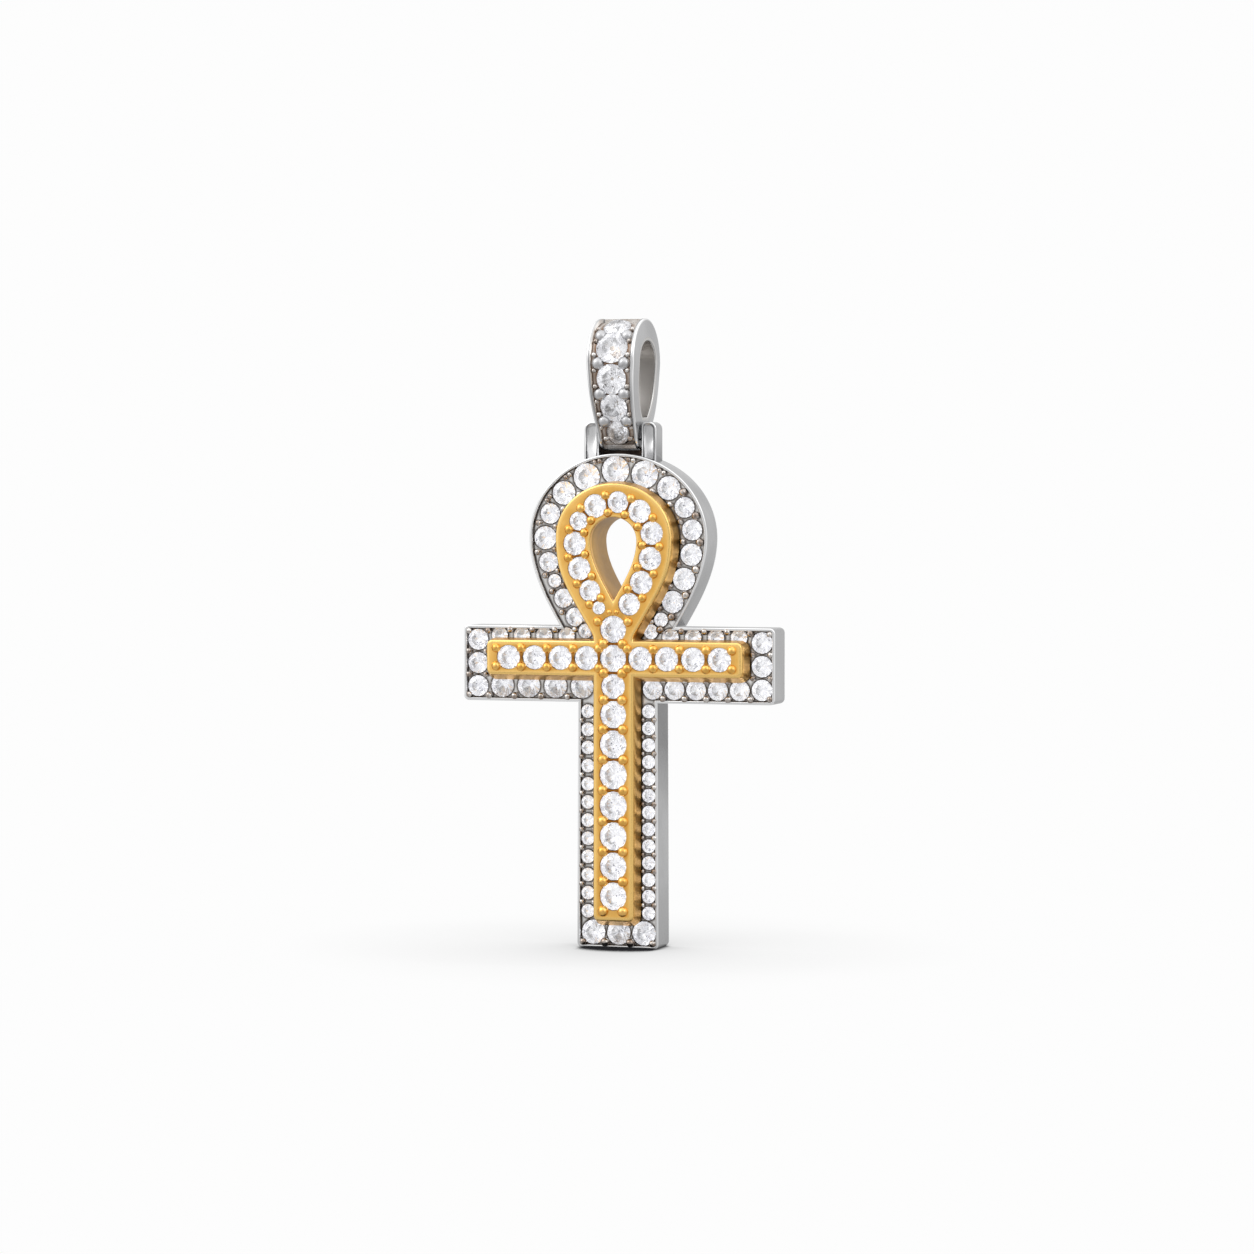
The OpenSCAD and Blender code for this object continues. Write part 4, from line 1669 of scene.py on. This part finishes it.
    def beads(self, rows: dict[str, list[SetStone]]) -> list[Bead]:
        """Places the plate's beads.

        Args:
            rows: The plate's rows of stones.

        Returns:
            The beads.
        """
        made = []
        lines, head = self.bead_lines, rows["head"]
        half = len(head) // 2
        made += lines.head_left.along(head[: half - 2])
        made += lines.head_top.along(head[half - 3 : half + 3])
        made += lines.head_right.along(head[half + 2 :])
        made += lines.head_inner.along(head)
        for hand, outer in (("left", -1), ("right", 1)):
            end = rows[f"{hand}_end"]
            made += lines.end_inner.turned(outer).along(end)
            made += lines.end_outer.turned(outer).along(end)
            upper, lower = rows[f"upper_{hand}"], rows[f"lower_{hand}"]
            made += lines.upper_outer.along([end[0], *upper] if outer < 0 else [*upper, end[0]])
            made += lines.upper_inner.along(upper)
            made += lines.lower_outer.along([end[-1], *lower] if outer < 0 else [*lower, end[-1]])
            made += lines.lower_inner.along(lower)
            made += lines.side_inner.turned(outer).along(rows[f"side_{hand}"])
            side = lines.side_left if outer < 0 else lines.side_right
            made += side.turned(outer).along(rows[f"side_{hand}"])
            made.append(lines.corner(end[0], outer, 1, lines.arm_corner))
            made.append(lines.corner(end[-1], outer, -1, lines.arm_corner))
            made.append(lines.corner(rows["foot"][0 if outer < 0 else -1], outer, -1, lines.foot_corner))
        made += lines.foot_outer.along(rows["foot"])
        made += lines.foot_inner.along(rows["foot"])
        return made


@dataclass
class Ears:
    """The pair of ears on the head that hold the bail's pin."""

    bench: Bench
    finishes: Finishes
    inner: float = 2.125
    width: float = 1.45
    depth: float = 2.1
    middle: float = 1.85
    top: float = 23.0
    root: float = 18.95
    outer_corner: float = 0.7
    inner_corner: float = 0.45
    least_corner: float = 0.08
    rim: float = 0.16
    dish: float = 0.26
    dish_reach: float = 0.3
    dish_steps: int = 6
    front_round: float = 0.14
    back_round: float = 0.16
    back_flat: float = 0.3
    # A dark block between the ears, as painted shade: its near and far depth and its top
    saddle: Rib = (2.7, 3.3, 20.4)
    saddle_bite: float = 0.1

    def outline(self, side: int, inset: float) -> list[Flat]:
        """Outline of one ear, drawn in on every side but its root.

        Args:
            side: -1 for the left ear, 1 for the right.
            inset: How far it is drawn in.

        Returns:
            The ring.
        """
        half, top = self.width / 2 - inset, self.top - inset
        right, left = (
            max((self.outer_corner if hand == side else self.inner_corner) - inset, self.least_corner)
            for hand in (1, -1)
        )
        ring = [(0.0, top)] + rounded((half, top), (1, 0), (0, -1), right)
        ring += [(half, self.root), (0.0, self.root), (-half, self.root)]
        ring += rounded((-half, top), (0, 1), (1, 0), left)
        middle = side * (self.inner + self.width / 2)
        return [(x + middle, z) for x, z in ring]

    def build(self) -> bpy.types.Object:
        """Makes both ears, and the low dark saddle between them, which stands as painted shade under the
        bail's eye.

        Returns:
            The piece.
        """
        forge = Forge()
        front, back = self.middle - self.depth / 2, self.middle + self.depth / 2
        turns = [math.pi / 2 * i / self.dish_steps for i in range(1, self.dish_steps + 1)]
        bowl = [
            (self.rim + self.dish_reach * (1 - math.cos(a)), front + self.dish * math.sin(a), 0.0)
            for a in turns
        ]
        profile = eased([
            (self.back_flat, back, 0), (0, back, self.back_round), (0, front, self.front_round),
            (self.rim, front, 0),
        ])
        for side in (-1, 1):
            first, last = forge.wall(
                lambda reach, depth: standing(self.outline(side, reach), depth), profile + bowl
            )
            forge.fill(first)
            forge.fill(last, smooth=True)
        near, far, level = self.saddle
        box = bmesh.ops.create_cube(forge.bm, size=1.0)["verts"]
        size = (2 * (self.inner + self.saddle_bite), far - near, level - self.root)
        bmesh.ops.scale(forge.bm, vec=size, verts=box)
        bmesh.ops.translate(forge.bm, vec=(0, (near + far) / 2, (level + self.root) / 2), verts=box)
        # The saddle takes the near-black metal, as painted shade between the ears
        for face in {f for vert in box for f in vert.link_faces}:
            face.material_index = 1
        mesh = forge.finish("bail_ears", self.bench)
        finishes = [self.finishes.rhodium, self.finishes.recess]
        return show("bail_ears", mesh, finishes, Body.PENDANT)


@dataclass
class Bail:
    """The tapered bail, with a channel of stones up its front and over its top.

    A large bead is its lift and its radius. A small one is how far out of the large one and how far along
    the line it stands, and its radius. The foot's bead is its place across and up, and its radius.
    """

    bench: Bench
    finishes: Finishes
    middle: float = 1.85
    pin_level: float = 21.75
    eye_radius: float = 1.45
    height: float = 12.5
    depth: float = 8.4
    top_width: float = 4.7
    eye_width: float = 3.75
    front_wall: float = 2.1
    back_wall: float = 1.3
    top_wall: float = 2.1
    rim: float = 0.35
    bore: float = 0.61
    channel: float = 1.5
    channel_foot: float = -50.0
    channel_end: float = 0.3
    channel_gap: float = 0.03
    edge_round: float = 0.14
    edge_side: float = 0.5
    throat_round: float = 0.16
    throat_side: float = 0.35
    support: float = 0.03
    bore_points: int = 28
    side_points: int = 30
    way_points: int = 24
    eye_steps: int = 12
    eye_swell: float = 1.6
    front_reach: float = 2.0
    bed_depth: float = 0.38
    bed_bite: float = 0.06
    bed_foot: float = 0.72
    bed_gap: float = 0.05
    bed_steps: int = 46
    seat_gap: float = 0.02
    seat_points: int = 28
    seat_levels: Flat = (0.12, 0.2)
    seat_foot: float = 0.12
    # Distances from the stones and the edge over which the bed is painted in shade
    painted_shade_gap: Flat = (0.08, 0.5)
    stone_levels: tuple[float, ...] = (21.8, 24.15, 26.95, 30.1, 32.25)
    stone_sizes: tuple[float, ...] = (2.55, 2.8, 2.92, 3.12, 2.7)
    stone_sinks: tuple[float, ...] = (0.45, 0.34, 0.34, 0.34, 0.34)
    way_rise: float = 2.2
    way_foot: float = 0.8
    way_floor: float = 1.727
    bead_reach: float = 1.3
    large_bead: Flat = (0.05, 0.66)
    small_lift: float = 0.24
    small_beads: tuple[Rib, ...] = ((0.38, 0.78, 0.25), (0.36, -0.7, 0.23))
    foot_bead: Rib = (1.2, -0.55, 0.3)

    @property
    def top(self) -> float:
        """Level of its top."""
        return self.pin_level - self.eye_radius + self.height

    @property
    def level(self) -> float:
        """Level where its crown begins."""
        return self.top - self.depth / 2

    def outer(self) -> list[Flat]:
        """Its side outline, as depth from front to back and level.

        Returns:
            The ring, from its top over its back.
        """

        def side(reach: float, belly: Rib) -> list[Flat]:
            """One side of it, from its top to its foot.

            Args:
                reach: How far the eye reaches at the pin's level.
                belly: How the side falls to it.

            Returns:
                The points.
            """
            radius, foot = self.depth / 2, (reach, self.pin_level)
            half = loop_half(radius, radius, self.level, foot, belly, self.side_points)
            for share in (i / self.eye_steps for i in range(1, self.eye_steps + 1)):
                turn = math.pi / 2 * share
                radius = self.eye_radius + (reach - self.eye_radius) * (1 - share) ** self.eye_swell
                half.append((radius * math.cos(turn), self.pin_level - radius * math.sin(turn)))
            half[-1] = (0.0, half[-1][1])
            return half

        back, front = side(self.eye_radius, BAIL_BELLY), side(self.front_reach, FRONT_BELLY)
        ring = back + [(-x, z) for x, z in reversed(front) if x > 1e-9]
        return [(self.middle + x, z) for x, z in ring]

    def way(self) -> list[Flat]:
        """Outline of its opening.

        Returns:
            The ring.
        """
        half_depth = (self.depth - self.front_wall - self.back_wall) / 2
        centre = self.middle + (self.front_wall - self.back_wall) / 2
        half = loop_half(
            half_depth, self.way_rise, self.top - self.top_wall - self.way_rise,
            (self.way_foot, self.pin_level + self.way_floor), WAY_BELLY, self.way_points,
        )
        half.append((0.0, half[-1][1]))
        return [(centre + x, z) for x, z in mirrored(half)]

    @staticmethod
    def offset(ring: Sequence[Flat], reach: Sequence[float]) -> list[Flat]:
        """Draws a ring in by its own reach at each point.

        Args:
            ring: The ring.
            reach: How far each point is drawn in.

        Returns:
            The new ring.
        """
        moved = []
        for i, (y, z) in enumerate(ring):
            (y0, z0), (y1, z1) = ring[i - 1], ring[(i + 1) % len(ring)]
            way = Vector((y1 - y0, z1 - z0)).normalized()
            moved.append((y + way.y * reach[i], z - way.x * reach[i]))
        return moved

    def sunk(self, y: float, z: float) -> float:
        """How far the channel is sunk at a point of the outline.

        Args:
            y: The point's depth.
            z: Its level.

        Returns:
            The channel's depth there, which is 0 beyond its ends.
        """
        turn = math.degrees(math.atan2(z - self.pin_level, self.middle - y))
        front = y < self.middle and turn > self.channel_foot
        over = z > self.level and y < self.middle + self.channel_end
        return self.channel if front or over else 0.0

    def line(self) -> tuple[np.ndarray, np.ndarray]:
        """The line up its front and over its top.

        Returns:
            Its points, as depth and level, and how far along each lies.
        """
        ring = self.outer()
        points = np.array(ring[len(ring) // 2 :] + ring[: len(ring) // 4])
        return points, np.concatenate([[0.0], np.cumsum(np.linalg.norm(np.diff(points, axis=0), axis=1))])

    @staticmethod
    def spot(mark: float, line: np.ndarray, marks: np.ndarray) -> tuple[Flat, Vector]:
        """A place on the line.

        Args:
            mark: How far along it lies.
            line: The line's points.
            marks: How far along each of them lies.

        Returns:
            The place as depth and level, and the line's way there.
        """
        (y0, z0), (y, z), (y1, z1) = (
            [float(np.interp(mark + step, marks, line[:, k])) for k in (0, 1)]
            for step in (-WAY_STEP, 0, WAY_STEP)
        )
        return (y, z), Vector((y1 - y0, z1 - z0)).normalized()

    def places(self) -> list[float]:
        """How far along the line each stone sits.

        Returns:
            The places, from the eye up.
        """
        line, marks = self.line()
        rise = len(self.outer()) // 2
        return [float(np.interp(level, line[:rise, 1], marks[:rise])) for level in self.stone_levels]

    def taper(self, level: float) -> float:
        """How wide it is at a level, as a share of its top.

        Args:
            level: The level.

        Returns:
            The share.
        """
        low = self.pin_level - self.eye_radius
        share = max(0.0, (self.level - level) / (self.level - low))
        return 1 - share * (1 - self.eye_width / self.top_width)

    def settled(self, stones: Sequence[SetStone]) -> list[SetStone]:
        """Sets the stones in their line up the front, close together.

        Args:
            stones: The bail's stones, from its eye up.

        Returns:
            The stones, each square to the line.
        """
        line, marks = self.line()
        made = []
        for stone, place, size, sink in zip(stones, self.places(), self.stone_sizes, self.stone_sinks):
            (y, z), way = self.spot(place, line, marks)
            up = Vector((0, -way.y, way.x))
            made.append(SetStone(Vector((stone.girdle.x, y, z)) - up * sink, up, size))
        return made

    def build(self) -> bpy.types.Object:
        """Makes the bail.

        Returns:
            The piece.
        """
        forge = Forge()
        wide = self.top_width / 2
        outer, way = self.outer(), self.way()
        sunk = [self.sunk(y, z) for y, z in outer]

        def across(ring: Sequence[Flat], x: float) -> list[Vector]:
            """Stands a side outline at a place across the bail.

            Args:
                ring: The outline.
                x: The place.

            Returns:
                The points.
            """
            return [Vector((x, y, z)) for y, z in ring]

        def skin(x: float, inset: float, share: float) -> list[Vector]:
            """A ring of the bail's outer surface.

            Args:
                x: Its place across.
                inset: How far it is drawn in.
                share: How much of the channel's depth it is sunk.

            Returns:
                The points.
            """
            return across(self.offset(outer, [inset + share * d for d in sunk]), x)

        edge = eased(
            [(wide, self.edge_side, 0), (wide, 0, self.edge_round), (wide - self.rim, 0, 0)],
            support=self.support,
        )
        bank = wide - self.rim - self.channel_gap
        left = [(-x, inset, mark, 0.0) for x, inset, mark in edge]
        floor = [(-bank, 0.0, 0.0, 1.0), (bank, 0.0, 0.0, 1.0)]
        right = [(x, inset, mark, 0.0) for x, inset, mark in reversed(edge)]
        stations = left + floor + right
        first = last = forge.ring(skin(stations[0][0], stations[0][1], stations[0][3]))
        for n, (x, inset, mark, share) in enumerate(stations[1:], 1):
            in_channel = len(left) <= n <= len(left) + len(floor)
            last = forge.sweep(last, skin(x, inset, share), mark, finish=1 if in_channel else 0)
        inside = eased(
            [(wide, self.throat_side, 0), (wide, 0, self.throat_round), (0, 0, 0)], support=self.support
        )
        throat = [(-x, -out, mark) for x, out, mark in inside]
        throat += [(x, -out, mark) for x, out, mark in reversed(inside[:-1])]
        near = far = forge.ring(across(self.offset(way, [throat[0][1]] * len(way)), throat[0][0]))
        for x, out, mark in throat[1:]:
            far = forge.sweep(far, across(self.offset(way, [out] * len(way)), x), mark, finish=2)
        eye = [
            (self.middle + self.bore * math.cos(a), self.pin_level + self.bore * math.sin(a))
            for a in (2 * math.pi * i / self.bore_points for i in range(self.bore_points))
        ]
        start = forge.ring(across(eye, -wide))
        end = forge.sweep(start, across(eye, wide))
        forge.fill(first, near, start)
        forge.fill(last, far, end)
        for face in forge.bm.faces:
            spot = face.calc_center_median()
            if face.material_index == 1 and not self.sunk(spot.y, spot.z):
                face.material_index = 0
        bmesh.ops.bisect_plane(
            forge.bm, geom=forge.bm.verts[:] + forge.bm.edges[:] + forge.bm.faces[:], dist=1e-4,
            plane_co=(0, 0, self.level), plane_no=(0, 0, 1),
        )
        for vert in forge.bm.verts:
            vert.co.x *= self.taper(vert.co.z)
        mesh = forge.finish("bail_body", self.bench)
        finishes = [self.finishes.rhodium, self.finishes.bail_floor, self.finishes.throat]
        return show("bail_body", mesh, finishes, Body.BAIL, ["bail"])

    def bed(self, stones: Sequence[SetStone]) -> bpy.types.Object:
        """Makes the bed of the channel, with a seat for each stone.

        Args:
            stones: The stones, settled in their line.

        Returns:
            The piece.
        """
        forge = Forge()
        line, marks = self.line()
        half = self.top_width / 2 - self.rim + self.bed_bite
        places = self.places()
        low = places[0] - stones[0].diameter * self.bed_foot
        crown = self.side_points
        end = self.middle + self.channel_end - self.bed_gap
        high = float(np.interp(end, line[crown:, 0], marks[crown:]))
        side = [low + (high - low) * i / self.bed_steps for i in range(self.bed_steps + 1)]
        right = [Vector((half, 0, mark)) for mark in side]
        left = [Vector((-half, 0, mark)) for mark in reversed(side)]
        rings = []
        edge = forge.ring(right + left)
        for stone, place in zip(stones, places):
            radius = stone.diameter / 2 + self.seat_gap
            rings.append(forge.ring(circle(0, 0, place, radius, self.seat_points)))
        forge.fill(edge, *rings)
        step, spare = self.seat_levels
        for stone, place, ring in zip(stones, places, rings):
            rim = (stone.diameter / 2 + self.seat_gap, step)
            foot = (self.seat_foot, PAVILION * stone.diameter + spare)
            forge.pit(ring, Vector((0, 0, place)), [rim, foot])
        # Painted shade: the bed turns dark round its stones and along its edge
        forge.paint_outline_shade([edge, *rings], *self.painted_shade_gap, 0.0)
        for vert in forge.bm.verts:
            (y, z), way = self.spot(vert.co.z, line, marks)
            depth = self.bed_depth + vert.co.y
            vert.co = Vector((vert.co.x * self.taper(z), y + way.y * depth, z - way.x * depth))
        mesh = forge.finish("bail_bed", self.bench, recalculate=False)
        return show("bail_bed", mesh, [self.finishes.bail_floor], Body.BAIL)

    def beads(self, stones: Sequence[SetStone]) -> tuple[list[Bead], list[Bead]]:
        """Places the bail's large and small beads.

        Args:
            stones: The bail's stones, from its eye up.

        Returns:
            The large beads and the small ones.
        """
        large, small = [], []
        for a, b in zip(stones, stones[1:]):
            up = (a.up + b.up).normalized()
            middle = (a.girdle + b.girdle) / 2
            way = (b.girdle - a.girdle).normalized()
            wide = self.bead_reach * self.taper(middle.z)
            for side in (-1, 1):
                lift, radius = self.large_bead
                large.append(Bead(middle + Vector((side * wide, 0, 0)) + up * lift, radius))
                for out, along, radius in self.small_beads:
                    off = Vector((side * (wide + out), 0, 0))
                    small.append(Bead(middle + off + way * along + up * self.small_lift, radius))
        across, rise, radius = self.foot_bead
        for side in (-1, 1):
            small.append(Bead(stones[0].girdle + Vector((side * across, 0, rise)), radius))
        return large, small


@dataclass(frozen=True)
class Slope:
    """A slow change of the studio's surroundings along an axis, from one place on it to another."""

    axis: str
    start: float
    end: float
    low: float
    high: float


@dataclass(frozen=True)
class Lobe:
    """A bright or dark patch of the surroundings, with the cosines of its edge and of its full middle."""

    direction: Rib
    edge: float
    middle: float
    amount: float


@dataclass
class Studio:
    """The camera, the pale floor and the soft light.

    The floor's sizes are in metres, and its contact shadow lies under the foot alone.
    """

    azimuth: float = 18.0
    eye_level: float = -12.2
    aim: Vector = field(default_factory=lambda: Vector((0.195, 0.063, -27.2)))
    distance: float = 399.0
    lens: float = 120.3
    floor_reach: float = 0.07
    floor_gap: float = 0.00002
    fade: Flat = (0.03, 0.95)
    shade_reach: float = 0.03
    shade_depth: float = 0.72
    touch_reach: float = 0.005
    touch_span: Flat = (0.58, 0.79)
    touch_width: Flat = (0.0034, 0.0045)
    shade_samples: int = 24
    bounce: float = 0.72
    cloud_scale: float = 2.2
    cloud_amount: float = 0.5
    darkest: float = 0.02
    slopes: tuple[Slope, ...] = (
        Slope("Y", -0.3, 0.7, 0.92, 0.8),
        Slope("Z", 0.25, 0.95, 0.0, 0.6),
        Slope("X", -0.9, -0.3, 0.25, 0.0),
        Slope("Z", -0.6, 0.02, -0.42, 0.0),
    )
    lobes: tuple[Lobe, ...] = (
        Lobe((-0.62, -0.55, 0.56), 0.93, 0.985, 2.2),
        Lobe((0.75, -0.45, 0.48), 0.95, 0.99, 1.4),
        Lobe((0.31, -0.95, 0.05), 0.965, 0.99, -0.6),
        Lobe((0.9, 0.42, 0.1), 0.9, 0.99, 0.25),
        Lobe((-0.92, 0.38, -0.05), 0.78, 0.95, -0.7),
    )

    def camera(self) -> None:
        """Makes the camera at the photograph's viewing angle."""
        data = bpy.data.cameras.new("camera")
        data.lens = self.lens
        data.sensor_width = 36.0
        data.clip_start, data.clip_end = 0.01, 10.0
        camera = bpy.data.objects.new("camera", data)
        turn = math.radians(self.azimuth)
        aim = self.aim * MM
        place = aim + Vector((math.sin(turn), -math.cos(turn), 0)) * self.distance * MM
        place.z = self.eye_level * MM
        camera.location = place
        camera.rotation_mode = "QUATERNION"
        camera.rotation_quaternion = (aim - place).to_track_quat("-Z", "Y")
        bpy.context.scene.collection.objects.link(camera)
        bpy.context.scene.camera = camera

    def floor(self) -> None:
        """Makes the pale floor, with a soft shadow where the foot stands."""
        low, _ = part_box("base_plate")
        bm = bmesh.new()
        bmesh.ops.create_circle(bm, cap_ends=True, segments=96, radius=self.floor_reach)
        bmesh.ops.translate(bm, vec=(0, 0, low.z - self.floor_gap), verts=bm.verts)
        mesh = bpy.data.meshes.new("floor")
        bm.to_mesh(mesh)
        bm.free()
        floor = bpy.data.objects.new("floor", mesh)
        bpy.context.scene.collection.objects.link(floor)
        material = bpy.data.materials.new("pale floor")
        material.use_nodes = True
        material.node_tree.nodes.clear()
        g = Graph(material.node_tree)
        near, close = (
            g.node("AmbientOcclusion", {"Distance": reach}, samples=self.shade_samples).outputs["AO"]
            for reach in (self.shade_reach, self.touch_reach)
        )
        dim = g.math("MULTIPLY", g.math("SUBTRACT", 1.0, near), self.shade_depth)
        soft = g.math("SUBTRACT", 1.0, dim, clamp=True)
        place = g.node("TexCoord").outputs["Object"]
        apart = g.node("SeparateXYZ", {0: place}).outputs
        under = g.span(g.math("ABSOLUTE", apart["X"]), *self.touch_width, 1.0, 0.0)
        touch = g.math("MULTIPLY", g.span(close, *self.touch_span, 1.0, 0.0), under)
        shade = g.math("MULTIPLY", soft, g.math("SUBTRACT", 1.0, touch))
        colour = g.blend(shade, (0.02, 0.02, 0.022, 1), (0.98, 0.98, 0.98, 1))
        squares = [g.math("POWER", apart[axis], 2.0) for axis in ("X", "Y")]
        reach = g.math("SQRT", g.math("ADD", *squares))
        start, end = self.fade
        fade = g.span(reach, start, self.floor_reach * end, 1.0, 0.0)
        seen = g.node("LightPath").outputs["Is Camera Ray"]
        strength = g.math("ADD", self.bounce, g.math("MULTIPLY", seen, 1.0 - self.bounce))
        glow = g.node("Emission", {"Color": colour, "Strength": strength}).outputs[0]
        clear = g.node("BsdfTransparent").outputs[0]
        mixed = g.node("MixShader", {0: fade, 1: clear, 2: glow})
        g.node("OutputMaterial", {"Surface": mixed.outputs[0]})
        mesh.materials.append(material)

    def light(self) -> None:
        """Makes the studio's soft surroundings."""
        world = bpy.data.worlds.new("studio")
        bpy.context.scene.world = world
        world.use_nodes = True
        world.node_tree.nodes.clear()
        g = Graph(world.node_tree)
        way = g.node("TexCoord").outputs["Generated"]
        apart = g.node("SeparateXYZ", {0: way}).outputs
        clouds = {"Vector": way, "Scale": self.cloud_scale, "Detail": 1.0}
        cloud = g.node("TexNoise", clouds).outputs["Fac"]
        base = g.math("MULTIPLY", g.math("SUBTRACT", cloud, 0.5), self.cloud_amount)
        for slope in self.slopes:
            tone = g.span(apart[slope.axis], slope.start, slope.end, slope.low, slope.high)
            base = g.math("ADD", base, tone)
        for lobe in self.lobes:
            towards = {0: way, 1: Vector(lobe.direction).normalized()}
            facing = g.node("VectorMath", towards, operation="DOT_PRODUCT").outputs["Value"]
            base = g.math("ADD", base, g.span(facing, lobe.edge, lobe.middle, 0.0, lobe.amount))
        base = g.math("MAXIMUM", base, self.darkest)
        seen = g.node("LightPath").outputs["Is Camera Ray"]
        strength = g.blend(seen, base, (0.982, 0.982, 0.982, 1.0))
        background = g.node("Background", {"Color": strength, "Strength": 1.0})
        g.node("OutputWorld", {"Surface": background.outputs[0]})
        bpy.context.scene.view_settings.view_transform = "Standard"


def main() -> None:
    """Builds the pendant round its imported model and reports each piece."""
    logging.basicConfig(level=logging.INFO, format="%(name)s: %(message)s")
    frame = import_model()
    nodes = frame["nodes"]
    bench = Bench.from_plate(Plate.thickness, Plate.stem_drop)
    studio = Studio()
    studio.camera()
    studio.floor()
    studio.light()
    finishes = Finishes.made()

    def named(stem: str) -> list[str]:
        """Names of a row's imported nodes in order.

        Args:
            stem: The row's name.

        Returns:
            The names.
        """
        count = sum(1 for n in nodes if n.startswith(f"{stem}_stone_"))
        return [f"{stem}_stone_{i + 1}" for i in range(count)]

    names = {row: named(row) for row in ("loop", "stem", "left_arm", "right_arm", "bail")}
    names["centre"], names["junction"] = ["centre_stone"], ["junction_stone"]
    rows = {row: [stones_of(nodes[n], bench)[0] for n in found] for row, found in names.items()}
    gold = GoldAnkh(bench, finishes)
    plate = Plate(bench, finishes)
    small = plate.eased_up(stones_of(nodes["plate_stones"], bench))
    bail = Bail(bench, finishes)
    gold_rows = {row: rows[row] for row in names if row != "bail"}
    gold.build([stone for row in gold_rows.values() for stone in row])
    plate_rows = plate.rows(small)
    log.info("rows: %s", {name: len(row) for name, row in plate_rows.items()})
    plate.build(gold, small)
    Ears(bench, finishes).build()
    bail.build()
    rows["bail"] = bail.settled(rows["bail"])
    bail.bed(rows["bail"])

    cutter = Stones(bench, finishes)
    for row, found in gold_rows.items():
        cutter.piece(f"{row}_stones_cut", found, Body.PENDANT, Slot.CUT_STONES, names[row])
    cutter.piece("bail_stones_cut", rows["bail"], Body.BAIL, Slot.CUT_STONES, names["bail"])
    cutter.piece("plate_stones_cut", small, Body.PENDANT, Slot.SMALL_STONES, ["plate_stones"])

    box = BeadBox(bench)
    box.piece("gold_beads", gold.beads(gold_rows), finishes.gold_bead, Body.PENDANT, Slot.YELLOW_GOLD)
    box.piece("plate_beads", plate.beads(plate_rows), finishes.silver_bead, Body.PENDANT, Slot.WHITE_METAL)
    large, fine = bail.beads(rows["bail"])
    box.piece("bail_large_beads", large, finishes.satin_bead, Body.BAIL, Slot.WHITE_METAL)
    box.piece("bail_small_beads", fine, finishes.silver_bead, Body.BAIL, Slot.WHITE_METAL)
    for slot in nodes["hinge_pin"].material_slots:
        slot.material = finishes.rhodium


if __name__ == "__main__":
    main()
